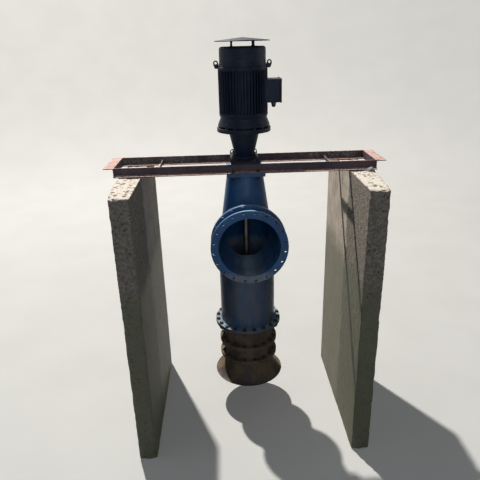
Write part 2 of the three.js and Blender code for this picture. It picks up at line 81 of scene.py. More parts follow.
# %% Camera
def linked(name, data):
    """A new object that shows a mesh, a lamp or a camera, linked into the scene."""
    item = bpy.data.objects.new(name, data)
    bpy.context.scene.collection.objects.link(item)
    return item


view_yaw = math.radians(15.41)
view_pitch = math.radians(29.91)
view_roll = math.radians(4.49)
photo_focal = 433.5
photo_middle = (240, 213.5)
object_middle = (146, 147)
picture_width = 480
longer_focal = 498
camera_place = (-223, -5181, 1136)

ahead = Vector((
    math.sin(view_yaw) * math.cos(view_pitch),
    math.cos(view_yaw) * math.cos(view_pitch),
    -math.sin(view_pitch),
))
level_right = Vector((math.cos(view_yaw), -math.sin(view_yaw), 0))
plumb_down = ahead.cross(level_right)
picture_right = math.cos(view_roll) * level_right - math.sin(view_roll) * plumb_down
picture_down = math.sin(view_roll) * level_right + math.cos(view_roll) * plumb_down
to_middle = (
    ahead
    + picture_right * (object_middle[0] - photo_middle[0]) / photo_focal
    + picture_down * (object_middle[1] - photo_middle[1]) / photo_focal
)
swing = ahead.rotation_difference(to_middle)
axes = Matrix((picture_right, -picture_down, -ahead)).transposed()

lens = bpy.data.cameras.new("pump_camera")
lens.sensor_width = 36
lens.lens = longer_focal * lens.sensor_width / picture_width
lens.clip_end = 90
camera = linked("pump_camera", lens)
turn = (swing.to_matrix() @ axes).to_4x4()
camera.matrix_world = Matrix.Translation(metres(*camera_place)) @ turn
bpy.context.scene.camera = camera
print("camera at", [round(v, 3) for v in camera.matrix_world.translation], "lens", round(lens.lens, 1))

# %% [markdown]
# Light from behind and a little from the left gives the photograph its look: bright rims and edge
# tops, dark front faces, and slanted shadows of the beams on the pier. The shadow of the pier's own
# corner gives the direction. The key lamp there is small and far away, so that the beams' shadows
# stay crisp. Three weak lamps, at the front, left and right, open up the shaded sides, and a pale
# world fills the rest.

# %% Studio light
lamp_aim = metres(150, 0, -900)
towards_sun = Vector((-0.233, 0.475, 0.84))
key_distance = 24


def soft_lamp(name, place, size, power, tint):
    """A square area lamp in metres that shines from its place towards the pump."""
    data = bpy.data.lights.new(name, "AREA")
    data.shape = "SQUARE"
    data.size = size
    data.energy = power
    data.color = tint
    lamp = linked(name, data)
    lamp.location = place
    lamp.rotation_euler = (lamp_aim - Vector(place)).to_track_quat("-Z", "Y").to_euler()


soft_lamp("key_lamp", lamp_aim + towards_sun * key_distance, 0.55, 12600, (1.0, 0.97, 0.925))
soft_lamp("front_lamp", (0.5, -8.0, 5.0), 5.0, 152, (0.80, 0.90, 1.0))
soft_lamp("left_lamp", (-5.0, -1.5, 3.4), 3.0, 24, (0.78, 0.88, 1.0))
soft_lamp("side_lamp", (7.0, 0.5, 3.0), 4.0, 42, (0.95, 0.97, 1.0))
world = bpy.data.worlds.new("pale_studio")
world.use_nodes = True
background = world.node_tree.nodes["Background"]
background.inputs["Color"].default_value = (0.80, 0.84, 0.9, 1)
background.inputs["Strength"].default_value = 0.14
bpy.context.scene.world = world
bpy.context.scene.view_settings.view_transform = "Standard"

# %% [markdown]
# Steel pieces are turned, rolled, sawn, bent or cast, and each leaves its own kind of corner. All
# pieces are made as plain lists of points and faces in millimetres, because such lists can be turned,
# copied and joined before Blender sees them. The first helper rounds the corners of an outline.

# %% Outlines with worked corners
nearly_straight = math.radians(172)
on_axis = 1e-6


def softened(profile, radius=2.0, steps=3):
    """Rounds each corner of a closed outline. A corner may give its own radius as a third number."""
    rounded = []
    for i, corner in enumerate(profile):
        here = Vector(corner[:2])
        back = Vector(profile[i - 1][:2]) - here
        on = Vector(profile[(i + 1) % len(profile)][:2]) - here
        reach = corner[2] if len(corner) > 2 else radius
        bend = back.angle(on, math.pi)
        if abs(here.x) < on_axis or reach <= 0 or bend > nearly_straight:
            rounded.append(tuple(here))
            continue
        reach = min(reach / math.tan(bend / 2), back.length * 0.48, on.length * 0.48)
        start = here + back.normalized() * reach
        end = here + on.normalized() * reach
        for step in range(steps + 1):
            t = step / steps
            rounded.append(tuple(start * (1 - t) ** 2 + here * 2 * t * (1 - t) + end * t ** 2))
    return rounded


def round_points(radius, count, across=0.0, up=0.0, sweep=2 * math.pi, last=0):
    """Points round a circle, or along an arc when a sweep and one last point are given."""
    angles = [sweep * step / count for step in range(count + last)]
    return [(across + radius * math.cos(a), up + radius * math.sin(a)) for a in angles]


def ring_faces(rows, count, first=0):
    """Faces between rows of points, each of which goes once round."""
    faces = []
    for here in range(first, first + (rows - 1) * count, count):
        there = here + count
        for i in range(count):
            j = (i + 1) % count
            faces.append((here + i, here + j, there + j, there + i))
    return faces


def turned(profile, sides=96):
    """An outline of radius and height, turned round the vertical axis, as (points, faces)."""
    count = len(profile)
    points = []
    for east, north in round_points(1, sides):
        points += [(r * east, r * north, z) for r, z in profile]
    faces = []
    for step in range(sides):
        here = step * count
        there = (step + 1) % sides * count
        for i in range(count):
            j = (i + 1) % count
            if profile[i][0] > on_axis or profile[j][0] > on_axis:
                faces.append((here + i, there + i, there + j, here + j))
    return points, faces


def lathed(profile, sides=128, **softening):
    """A turned shape whose outline has worked corners."""
    return turned(softened(profile, **softening), sides)


def rod(radius, low, high, sides):
    """A solid round bar, or the tool that drills its hole."""
    return turned([(0, low), (radius, low), (radius, high), (0, high)], sides)


def hoop(inner, outer, low, high, corner=1.5, sides=96):
    """A flat ring: a flange or a plain pipe."""
    profile = [(inner, low), (outer, low), (outer, high), (inner, high)]
    return lathed(profile, sides, radius=corner)


print("a rounded ring has", len(hoop(10, 20, 0, 5)[0]), "points")

# %% [markdown]
# The next helpers run an outline along a line, as a rolling mill does, move a shape, and join several
# shapes into one. Bolts in a ring are one shape, placed many times.

# %% Runs, moves and joins
def run(outline, start, end, across="yz"):
    """A closed outline run along the axis that it doesn't use, as (points, faces)."""
    order = ["xyz".index(letter) for letter in across]
    along = 3 - sum(order)
    points = []
    for place in (start, end):
        for u, v in outline:
            point = [0, 0, 0]
            point[order[0]], point[order[1]], point[along] = u, v, place
            points.append(tuple(point))
    count = len(outline)
    ends = [tuple(range(count)), tuple(range(2 * count - 1, count - 1, -1))]
    return points, ends + ring_faces(2, count)


def block(x, y, z):
    """A block between three pairs of millimetre levels."""
    return run([(y[0], z[0]), (y[1], z[0]), (y[1], z[1]), (y[0], z[1])], x[0], x[1])


def moved(shape, matrix):
    """A shape put through a matrix."""
    points, faces = shape
    return [tuple(matrix @ Vector(point)) for point in points], faces


def shifted(shape, x, y, z):
    """A shape moved by millimetres."""
    return moved(shape, Matrix.Translation((x, y, z)))


def joined(shapes):
    """Several shapes as one."""
    points, faces = [], []
    for more_points, more_faces in shapes:
        start = len(points)
        points += more_points
        faces += [tuple(start + i for i in face) for face in more_faces]
    return points, faces


def standing(shape, place, direction, spin=0):
    """A shape that stands on its own z axis, set on a place so that it points in a direction."""
    lean = Vector((0, 0, 1)).rotation_difference(Vector(direction))
    turn = Matrix.Rotation(spin, 4, "Z")
    return moved(shape, Matrix.Translation(place) @ lean.to_matrix().to_4x4() @ turn)


def bolt_circle(shape, count, radius, level, up=1, start=0.0):
    """A shape placed round a circle about the vertical axis, each one spun a little differently."""
    placed = []
    for step in range(count):
        angle = start + 2 * math.pi * step / count
        place = (radius * math.cos(angle), radius * math.sin(angle), level)
        placed.append(standing(shape, place, (0, 0, up), 2.4 * step))
    return joined(placed)


towards_outlet = Matrix.Rotation(math.radians(90), 4, "X")
outlet_level = extent("outlet_spool")[2]
outlet_middle = (outlet_level[0] + outlet_level[1]) / 2


def on_outlet(shape):
    """A shape made round the vertical axis, laid along the outlet's axis."""
    return moved(shape, Matrix.Translation((0, 0, outlet_middle)) @ towards_outlet)


print("outlet axis is", round(-outlet_middle), "mm below the beams' top")

# %% [markdown]
# One function turns a shape into a Blender object. It welds coincident points, turns the faces
# outwards, shades rounded faces smooth and keeps real corners crisp. It also says which body the piece
# rides on, which finish it takes and which solid it stands for.

# %% From shape to piece
def mesh_of(name, shape):
    """A Blender mesh from a shape, welded and with its faces turned out."""
    points, faces = shape
    mesh = bpy.data.meshes.new(name)
    mesh.from_pydata([metres(*point) for point in points], [], faces)
    work = bmesh.new()
    work.from_mesh(mesh)
    bmesh.ops.remove_doubles(work, verts=work.verts, dist=2e-6)
    bmesh.ops.dissolve_degenerate(work, edges=work.edges, dist=1e-7)
    bmesh.ops.recalc_face_normals(work, faces=work.faces)
    work.to_mesh(mesh)
    work.free()
    return mesh


def finish_piece(item, finish, stands_for, crease):
    """Gives an object its finish and shading, and ties it to the model."""
    item.data.materials.clear()
    item.data.materials.append(finish)
    item.data.shade_smooth()
    item.data.set_sharp_from_angle(angle=math.radians(crease))
    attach(item, "root")
    if stands_for:
        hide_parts(*stands_for)
    return item


def bevelled(item, width, segments=2, harden=True):
    """Rounds an object's edges by a width in millimetres."""
    bevel = item.modifiers.new("worked_edges", "BEVEL")
    bevel.width = width / 1000
    bevel.segments = segments
    bevel.limit_method = "ANGLE"
    bevel.angle_limit = math.radians(40)
    bevel.harden_normals = harden


def piece(name, shape, finish, slot, stands_for=(), crease=32, corner=0.0):
    """A new object from a shape. A corner in millimetres rounds its edges with a bevel."""
    item = linked(name, mesh_of(name, shape))
    if corner:
        bevelled(item, corner)
    return finish_piece(item, finish, stands_for, crease)


def cut_shape(name, shape, cutters):
    """A shape with other shapes cut out of it, as a new mesh."""
    body = linked(name + "_blank", mesh_of(name + "_blank", shape))
    tools = [linked(name + "_cutter", mesh_of(name + "_cutter", part)) for part in cutters]
    for tool in tools:
        cut = body.modifiers.new("cut", "BOOLEAN")
        cut.operation = "DIFFERENCE"
        cut.solver = "EXACT"
        cut.object = tool
    ready = body.evaluated_get(bpy.context.evaluated_depsgraph_get())
    mesh = bpy.data.meshes.new_from_object(ready)
    for item in [body, *tools]:
        bpy.data.objects.remove(item)
    mesh.name = name
    return mesh


def cut_piece(name, shape, cutters, finish, slot, stands_for=(), crease=32):
    """A new object from a shape with other shapes cut out of it."""
    item = linked(name, cut_shape(name, shape, cutters))
    return finish_piece(item, finish, stands_for, crease)


print("piece helpers ready")

# %% [markdown]
# Every finish below is made of nodes. One function turns a colour code as a paint maker gives it into
# the linear values that a shader needs, one adds a node with its settings and links, and one starts a
# finish. Patterns are sized in millimetres, because all pieces share one frame and so one scale.

# %% Helpers for finishes
def linear(code):
    """A colour code in sRGB, such as 1f5486, as linear red, green, blue and opacity."""
    parts = [int(code[i:i + 2], 16) / 255 for i in (0, 2, 4)]
    return (*[c / 12.92 if c <= 0.04045 else ((c + 0.055) / 1.055) ** 2.4 for c in parts], 1.0)


def add(tree, kind, inputs=None, **settings):
    """Adds a node. Settings are the node's own, and inputs are values or other nodes' outputs."""
    node = tree.nodes.new("ShaderNode" + kind)
    for name, value in settings.items():
        setattr(node, name, value)
    for name, value in (inputs or {}).items():
        if isinstance(value, bpy.types.NodeSocket):
            tree.links.new(value, node.inputs[name])
        else:
            node.inputs[name].default_value = value
    return node


def new_finish(name, metallic, roughness):
    """An empty finish: its material, node tree, shader and the place of each point."""
    finish = bpy.data.materials.new(name)
    finish.use_nodes = True
    tree = finish.node_tree
    tree.nodes.clear()
    shader = add(tree, "BsdfPrincipled", {"Metallic": metallic, "Roughness": roughness})
    add(tree, "OutputMaterial", {"Surface": shader.outputs["BSDF"]})
    return finish, tree, shader, add(tree, "TexCoord").outputs["Object"]


def patches(tree, place, size, low, high, tall=1.0, detail=4.0, seed=0.0):
    """Where cloudy patches of a size in millimetres lie, from 0 to 1. Tall ones run down a surface."""
    spread = add(tree, "VectorMath", {0: place, 1: (1, 1, 1 / tall)}, operation="MULTIPLY")
    shift = add(tree, "VectorMath", {0: spread.outputs[0], 1: (seed, seed, seed)}, operation="ADD")
    cloud = add(tree, "TexNoise", {"Vector": shift.outputs[0], "Scale": 1000 / size, "Detail": detail})
    step = add(tree, "MapRange", {0: cloud.outputs["Fac"], 1: low, 2: high}, interpolation_type="SMOOTHSTEP")
    return step.outputs[0]


def between(tree, mask, below, above):
    """A colour that goes from one to another as a mask goes from 0 to 1."""
    return add(tree, "Mix", {0: mask, 6: below, 7: above}, data_type="RGBA").outputs[2]


def both(tree, one, other, operation="MULTIPLY"):
    """Two masks joined: multiplied, unless another operation is given."""
    return add(tree, "Math", {0: one, 1: other}, operation=operation, use_clamp=True).outputs[0]


print("1f5486 is", [round(v, 3) for v in linear("1f5486")])

# %% [markdown]
# Outdoor steel weathers in the same few ways under any paint. The coat fades in broad patches, dirt
# runs down it, dust settles on faces that look up, edges wear through to rust, and rust breaks out in
# spots. One function lays these over each other, so that every coat on the pump ages alike. Where a
# coat's upward tone is strong, as on the primer, it is also painted sunlight on those faces. The
# primer's pale specks at the rear are partly painted light thrown up from the concrete. The worn
# edges come from comparing a surface's direction with that of a softened copy of it.

# %% Weathered paint
def worn_edges(tree, place, radius, low, high, grain):
    """Where edges have lost their paint, from 0 to 1, broken up by a grain in millimetres."""
    plain = add(tree, "NewGeometry").outputs["Normal"]
    soft = add(tree, "Bevel", {"Radius": radius / 1000}, samples=6).outputs[0]
    bend = add(tree, "VectorMath", {0: plain, 1: soft}, operation="DOT_PRODUCT").outputs["Value"]
    rough = add(tree, "TexNoise", {"Vector": place, "Scale": 1000 / grain, "Detail": 5.0})
    open_to_wear = both(tree, both(tree, 1.0, bend, "SUBTRACT"), rough.outputs["Fac"])
    return add(tree, "MapRange", {0: open_to_wear, 1: low, 2: high}).outputs[0]


def looking_up(tree, low, high):
    """How far a face looks up, from 0 to 1."""
    normal = add(tree, "SeparateXYZ", {0: add(tree, "NewGeometry").outputs["Normal"]})
    return add(tree, "MapRange", {0: normal.outputs["Z"], 1: low, 2: high}).outputs[0]


def damp_below(tree, place, level, band, ragged=60):
    """Where a surface is below a damp line in metres, from 0 to 1, with a ragged edge."""
    height = add(tree, "SeparateXYZ", {0: place}).outputs["Z"]
    cloud = add(tree, "TexNoise", {"Vector": place, "Scale": 1000 / ragged, "Detail": 3.0})
    wave = add(tree, "Math", {0: cloud.outputs["Fac"], 1: band, 2: height}, operation="MULTIPLY_ADD")
    return add(tree, "MapRange", {0: wave.outputs[0], 1: level + band, 2: level}).outputs[0]


damp_level = 1.95


def weathered_paint(name, coat, faded, dust_and_lit_tone, roughness, dust_and_sunlight_share=0.5, wear=1.0, rust="5a3320", silty=True,
                    specks_and_bounce_light=None, level_dust_and_highlight=0.0):
    """Paint on steel: faded, streaked, paler on top from dirt and painted sunlight, edge-worn, rust-spotted,
    specked.
    """
    finish, tree, shader, place = new_finish(name, 0.0, roughness)
    colour = between(tree, patches(tree, place, 240, 0.38, 0.66), linear(coat), linear(faded))
    mottle = both(tree, patches(tree, place, 18, 0.45, 0.7, seed=3), 0.35)
    colour = between(tree, mottle, colour, linear(faded))
    runs = both(tree, patches(tree, place, 22, 0.54, 0.72, tall=16, seed=7), 0.55)
    colour = between(tree, runs, colour, linear("191c1e"))
    # Faces that look up take a pale tone. It is dust, and where the share is strong, as on the primer, it is
    # painted sunlight too.
    facing_up = looking_up(tree, 0.25, 0.95)
    film = patches(tree, place, 24, 0.26, 0.60, detail=6, seed=11)
    dust_and_painted_sunlight = both(tree, both(tree, facing_up, film), dust_and_sunlight_share)
    # Level tops, such as flange rims, get more of the pale tone. It is partly dust and partly a painted
    # sunlit highlight.
    if level_dust_and_highlight:
        level = both(tree, looking_up(tree, 0.96, 0.995), patches(tree, place, 60, 0.1, 0.6, seed=29))
        dust_and_painted_sunlight = both(tree, dust_and_painted_sunlight, both(tree, level, level_dust_and_highlight), "MAXIMUM")
    colour = between(tree, dust_and_painted_sunlight, colour, linear(dust_and_lit_tone))
    if silty:
        wet = damp_below(tree, place, damp_level, 0.16)
        silt = both(tree, wet, patches(tree, place, 60, 0.10, 0.80, detail=6, tall=4, seed=5))
        colour = between(tree, both(tree, silt, 0.72), colour, linear("5d5645"))
        lime = damp_below(tree, place, damp_level + 0.05, 0.1, 30)
        lime = both(tree, lime, both(tree, 1.0, wet, "SUBTRACT"))
        colour = between(tree, both(tree, lime, 0.5), colour, linear("a9a697"))
    # Pale specks on the rear parts. They are dried cement, and partly painted light thrown up from the
    # concrete below.
    if specks_and_bounce_light:
        pale_specks_and_bounce_light = both(tree, patches(tree, place, 9, 0.50, 0.60, detail=6, seed=37),
                     patches(tree, place, 330, 0.40, 0.56, seed=41))
        rear = add(tree, "SeparateXYZ", {0: place}).outputs["Y"]
        pale_specks_and_bounce_light = both(tree, pale_specks_and_bounce_light, add(tree, "MapRange", {0: rear, 1: 0.1, 2: 0.35}).outputs[0])
        colour = between(tree, both(tree, pale_specks_and_bounce_light, 0.7), colour, linear(specks_and_bounce_light))
    spots = patches(tree, place, 34, 0.60, 0.68, seed=19)
    spots = both(tree, spots, patches(tree, place, 5, 0.40, 0.55, seed=2))
    edges = worn_edges(tree, place, 4.0, 0.035 / wear, 0.11 / wear, 7)
    bare = both(tree, both(tree, spots, wear), edges, "MAXIMUM")
    rust_tone = between(tree, patches(tree, place, 6, 0.35, 0.65, seed=4), linear(rust), linear("6b4029"))
    colour = between(tree, bare, colour, rust_tone)
    tree.links.new(colour, shader.inputs["Base Color"])
    dull = both(tree, dust_and_painted_sunlight, bare, "MAXIMUM")
    gloss = add(tree, "MapRange", {0: dull, 3: roughness, 4: 0.88}).outputs[0]
    uneven = both(tree, patches(tree, place, 60, 0.3, 0.75, seed=23), 0.14)
    tree.links.new(both(tree, gloss, uneven, "ADD"), shader.inputs["Roughness"])
    orange_peel = add(tree, "TexNoise", {"Vector": place, "Scale": 1000 / 5, "Detail": 2.0})
    skin = add(tree, "Bump", {"Height": orange_peel.outputs["Fac"], "Distance": 0.0006, "Strength": 0.35})
    flaked = add(tree, "Bump", {
        "Height": bare, "Distance": 0.0012, "Strength": 0.7, "Normal": skin.outputs[0],
    })
    flaked.invert = True
    tree.links.new(flaked.outputs[0], shader.inputs["Normal"])
    return finish, shader


# Blue alkyd enamel brushed on pipework: half gloss that keeps its blue where it is often wet.
# Its level tops, such as the flange rims, take a pale tone that is partly dust and partly a painted sunlit
# highlight.
blue_enamel, blue_shader = weathered_paint(
    "blue_pipe_enamel", "103f6d", "1b4e79", "7795aa", 0.36, dust_and_sunlight_share=0.18, wear=0.5, level_dust_and_highlight=0.75,
)
blue_shader.inputs["Specular IOR Level"].default_value = 0.38

# Dark motor enamel sprayed on cast iron: half gloss, almost black where the light doesn't reach.
navy_enamel, navy_shader = weathered_paint(
    "navy_motor_enamel", "091224", "101d33", "4a5668", 0.40, dust_and_sunlight_share=0.16, wear=0.3, silty=False,
)
navy_shader.inputs["Specular IOR Level"].default_value = 0.16

# Red oxide primer on rolled angle: matt, dark maroon, chalked to dusty pink where the sun reaches it;
# that pink on upward faces is partly painted sunlight. Grey specks at the rear are dried cement and
# lichen, and partly painted light thrown up from the concrete.
oxide_primer, _ = weathered_paint(
    "red_oxide_primer", "30222b", "403038", "c09c92", 0.66, dust_and_sunlight_share=0.85, wear=0.7, rust="4a2c22", silty=False,
    specks_and_bounce_light="99948b",
)
print("paints made", [m.name for m in bpy.data.materials])

# %% [markdown]
# Cast iron that stands wet keeps its sand-cast skin and takes a thin brown film. The propeller
# is bronze, which stays bright where it is scoured and turns green-brown near its hub. The shaft
# is turned steel, and its bolts are zinc dipped or plain black steel.

# %% Metals without paint
def bare_metal(name, metallic, roughness, tone, second, stain, tone_size, stain_share, grain, relief):
    """Metal with two tones in patches, a stain over part of it, and a fine relief in millimetres."""
    finish, tree, shader, place = new_finish(name, metallic, roughness)
    colour = between(tree, patches(tree, place, tone_size, 0.35, 0.65), linear(tone), linear(second))
    stained = both(tree, patches(tree, place, tone_size * 2.4, 0.42, 0.62, tall=2, seed=8), stain_share)
    colour = between(tree, stained, colour, linear(stain))
    tree.links.new(colour, shader.inputs["Base Color"])
    gloss = add(tree, "MapRange", {0: stained, 3: roughness, 4: min(roughness + 0.3, 0.95)}).outputs[0]
    uneven = both(tree, patches(tree, place, tone_size / 2, 0.3, 0.7, seed=31), 0.12)
    tree.links.new(both(tree, gloss, uneven, "ADD"), shader.inputs["Roughness"])
    sand = add(tree, "TexNoise", {"Vector": place, "Scale": 1000 / grain, "Detail": 4.0})
    bump = add(tree, "Bump", {"Height": sand.outputs["Fac"], "Distance": relief / 1000, "Strength": 0.6})
    tree.links.new(bump.outputs[0], shader.inputs["Normal"])
    return finish


# Grey iron as cast in sand: a pebbly, dull skin, browned by standing wet.
cast_iron = bare_metal("sand_cast_iron", 0.35, 0.72, "3a3633", "4b3d33", "6a5a44", 70, 0.75, 4, 1.2)

# Cast bronze, scoured smooth in use: a warm, soft shine with green-brown film.
bronze = bare_metal("cast_bronze", 1.0, 0.34, "a97c46", "8a6236", "55604a", 60, 0.6, 5, 0.5)

# Turned shaft steel: bright with light brown damp marks.
shaft_steel = bare_metal("turned_shaft_steel", 1.0, 0.30, "9a9a98", "83817d", "6b5647", 40, 0.4, 2, 0.15)

# Hot-dip galvanised fasteners: pale grey zinc, dull, with a little brown at the threads.
galvanised = bare_metal("galvanised_fasteners", 0.75, 0.46, "a7abad", "8b9092", "77604c", 9, 0.55, 3, 0.3)

# Black fasteners: oiled dark steel that has begun to rust.
dark_steel = bare_metal("rusting_black_fasteners", 0.6, 0.55, "2c2b2b", "38312d", "49352a", 12, 0.6, 3, 0.4)

# Each finish that is used often, with the slot of the solid model that it belongs to
navy = (navy_enamel, "navy_enamel")
blue = (blue_enamel, "blue_enamel")
primer = (oxide_primer, "oxide_primer")
iron = (cast_iron, "wet_cast_iron")
zinc = (galvanised, "shaft_steel")
black_steel = (dark_steel, "wet_cast_iron")
print("metals made", cast_iron.name, bronze.name, shaft_steel.name, galvanised.name, dark_steel.name)

# %% [markdown]
# The piers are cast concrete that has stood wet for years. The top is bleached almost white
# and pitted, the sides are buff grey with faint runs, and the front part has lost its cement skin, so
# that the gravel shows. Below the damp line the concrete is dark and green. Black nylon for the cable
# gland and grey mortar are made in the same cell because they need only a few of the same nodes.

# %% Concrete, mortar and nylon
def weathered_concrete(name, pale, buff, bleached, gravel_until):
    """Cast concrete: gravel shows in front of a place along y in metres, and the foot is wet."""
    finish, tree, shader, place = new_finish(name, 0.0, 0.93)
    colour = between(tree, patches(tree, place, 210, 0.36, 0.64), linear(buff), linear(pale))
    sandy = both(tree, patches(tree, place, 9, 0.35, 0.72, detail=6, seed=6), 0.5)
    colour = between(tree, sandy, colour, linear("746d63"))
    runs = both(tree, patches(tree, place, 55, 0.50, 0.74, tall=9, seed=9), 0.4)
    colour = between(tree, runs, colour, linear("5d574f"))

    # The washed front part: brown sand, with gravel of 8 to 20 mm whose outlines wander
    along = add(tree, "SeparateXYZ", {0: place}).outputs["Y"]
    sway = add(tree, "TexNoise", {"Vector": place, "Scale": 1000 / 130, "Detail": 5.0}).outputs["Fac"]
    swayed = add(tree, "Math", {0: sway, 1: 0.3, 2: along}, operation="MULTIPLY_ADD").outputs[0]
    worn_front = add(tree, "MapRange", {0: swayed, 1: gravel_until + 0.17, 2: gravel_until + 0.11}).outputs[0]
    clumps = patches(tree, place, 28, 0.38, 0.62, detail=8, seed=15)
    brown_sand = between(tree, clumps, linear("4a443c"), linear("726a5f"))
    colour = between(tree, both(tree, worn_front, 0.85), colour, brown_sand)
    wander = add(tree, "TexNoise", {"Vector": place, "Scale": 1000 / 14, "Detail": 4.0}).outputs["Color"]
    shake = {0: wander, 1: (0.016, 0.016, 0.016), 2: place}
    crooked = add(tree, "VectorMath", shake, operation="MULTIPLY_ADD").outputs[0]
    stones = add(tree, "TexVoronoi", {"Vector": crooked, "Scale": 1000 / 17, "Randomness": 1.0})
    stone_tone = between(tree, add(tree, "SeparateColor", {0: stones.outputs["Color"]}).outputs[0],
                         linear("443f38"), linear("a1988b"))
    washed = both(tree, worn_front, patches(tree, place, 55, 0.34, 0.62, detail=6, seed=13))
    few = both(tree, patches(tree, place, 160, 0.62, 0.72, seed=17), 0.5)
    washed = both(tree, washed, few, "MAXIMUM")
    heart = add(tree, "MapRange", {0: stones.outputs["Distance"], 1: 0.50, 2: 0.18}).outputs[0]
    bare_stone = both(tree, washed, heart)
    colour = between(tree, both(tree, bare_stone, 0.95), colour, stone_tone)

    # The sun-bleached top, with dirt and painted shade in its few pits
    up = looking_up(tree, 0.45, 0.8)
    top = both(tree, up, patches(tree, place, 40, 0.16, 0.40, seed=21))
    colour = between(tree, top, colour, linear(bleached))
    stain = both(tree, both(tree, up, patches(tree, place, 70, 0.52, 0.66, detail=6, seed=33)), 0.6)
    colour = between(tree, stain, colour, linear("8f806d"))
    pits = add(tree, "TexVoronoi", {"Vector": crooked, "Scale": 1000 / 44, "Randomness": 1.0})
    pit_open = add(tree, "MapRange", {0: pits.outputs["Distance"], 1: 0.30, 2: 0.19}).outputs[0]
    side_pits = both(tree, pit_open, patches(tree, place, 130, 0.53, 0.60, seed=25))
    chance = add(tree, "SeparateColor", {0: pits.outputs["Color"]}).outputs[0]
    distance = pits.outputs["Distance"]
    spread = add(tree, "Math", {0: chance, 1: 0.40, 2: distance}, operation="MULTIPLY_ADD").outputs[0]
    wide_open = add(tree, "MapRange", {0: spread, 1: 0.50, 2: 0.40}).outputs[0]
    top_pits = both(tree, both(tree, wide_open, up), patches(tree, place, 90, 0.38, 0.46, seed=45))
    pits_with_dirt_and_shade = both(tree, side_pits, top_pits, "MAXIMUM")
    # Pits on the top and sides are painted dark. The dark is dirt in them, and painted shade that their
    # shallow hollows would not cast.
    colour = between(tree, both(tree, pits_with_dirt_and_shade, 0.85), colour, linear("3d362d"))

    # Damp, silt and green growth below the damp line
    wet = damp_below(tree, place, damp_level, 0.22, 120)
    growth = between(tree, patches(tree, place, 50, 0.4, 0.62, seed=27), linear("4c4a3b"), linear("48502f"))
    colour = between(tree, both(tree, wet, 0.8), colour, growth)
    tree.links.new(colour, shader.inputs["Base Color"])
    damp = add(tree, "MapRange", {0: wet, 3: 0.93, 4: 0.6}).outputs[0]
    tree.links.new(damp, shader.inputs["Roughness"])

    sand = add(tree, "TexNoise", {"Vector": place, "Scale": 1000 / 7, "Detail": 6.0, "Roughness": 0.65})
    bump = add(tree, "Bump", {"Height": sand.outputs["Fac"], "Distance": 0.004, "Strength": 0.5})
    gravel = add(tree, "Bump", {
        "Height": bare_stone, "Distance": 0.008, "Strength": 0.7, "Normal": bump.outputs[0],
    })
    holes = add(tree, "Bump", {
        "Height": pits_with_dirt_and_shade, "Distance": 0.010, "Strength": 0.9, "Normal": gravel.outputs[0],
    })
    holes.invert = True
    tree.links.new(holes.outputs[0], shader.inputs["Normal"])
    return finish


washed_from = extent("front_beam")[1][0] + 25

# Cast concrete, board-marked and weathered: buff sides, bleached top, open gravel in front.
concrete = weathered_concrete("weathered_concrete", "c3b6a5", "aca08f", "b4aca1", metres(0, washed_from, 0).y)

# Grey cement mortar, trowelled under the beam's end to level it. Its dark bluish grey is painted
# shade of the beam's end above it, and its lighter top is painted light.
mortar = weathered_concrete("mortar_in_painted_shade", "5d6063", "4b4e52", "6e7072", -50.0)

# Moulded black nylon: half matt, with a faint moulded grain.
nylon, tree, shader, place = new_finish("moulded_black_nylon", 0.0, 0.5)
tone = between(tree, patches(tree, place, 12, 0.4, 0.6), linear("141516"), linear("232527"))
tree.links.new(tone, shader.inputs["Base Color"])
grain = add(tree, "TexNoise", {"Vector": place, "Scale": 1000 / 1.5})
bump = add(tree, "Bump", {"Height": grain.outputs["Fac"], "Distance": 0.0002, "Strength": 0.4})
tree.links.new(bump.outputs[0], shader.inputs["Normal"])
print("stone and plastic made", concrete.name, mortar.name, nylon.name)

# %% [markdown]
# The floor is a plain pale dish: flat under the object, and curved up far away from it, so that no
# horizon shows from any side. It glows faintly where the lamps hardly reach it, so that it stays
# evenly pale. It throws no light back on the pump, so that the shaded sides stay as deep as they are
# in the photograph. It isn't part of the pump.

# %% Pale floor
floor_flat, floor_far, floor_rise, floor_sides = 11.0, 19.0, 15.0, 96
rims = [(floor_flat * share, 0.0) for share in (0.25, 0.5, 0.75, 1.0)]
rims += [(floor_flat + (floor_far - floor_flat) * math.sin(a), floor_rise * (1 - math.cos(a)))
         for a in (math.pi / 2 * step / 24 for step in range(1, 25))]
floor_level = -0.001
floor_points = [(0, 0, floor_level)]
for radius, height in rims:
    floor_points += [(*point, height + floor_level) for point in round_points(radius, floor_sides)]
floor_faces = [(0, 1 + s, 1 + (s + 1) % floor_sides) for s in range(floor_sides)]
floor_faces += [face[::-1] for face in ring_faces(len(rims), floor_sides, first=1)]
floor_mesh = bpy.data.meshes.new("pale_floor")
floor_mesh.from_pydata(floor_points, [], floor_faces)
floor_mesh.shade_smooth()
floor = linked("pale_floor", floor_mesh)
floor.visible_diffuse = False
pale, tree, shader, place = new_finish("pale_studio_floor", 0.0, 0.85)
tone = between(tree, patches(tree, place, 900, 0.3, 0.7), linear("9c9c99"), linear("9f9f9c"))
tree.links.new(tone, shader.inputs["Base Color"])
from_middle = add(tree, "VectorMath", {0: place, 1: (1, 1, 0)}, operation="MULTIPLY").outputs[0]
reach = add(tree, "VectorMath", {0: from_middle}, operation="LENGTH").outputs["Value"]
glow = add(tree, "MapRange", {0: reach, 1: 3.5, 2: 14.0, 3: 0.06, 4: 0.13}, interpolation_type="SMOOTHSTEP")
shader.inputs["Specular IOR Level"].default_value = 0.0
shader.inputs["Emission Color"].default_value = (1.0, 0.99, 0.97, 1.0)
tree.links.new(glow.outputs[0], shader.inputs["Emission Strength"])
floor_mesh.materials.append(pale)
print("floor", floor.name)

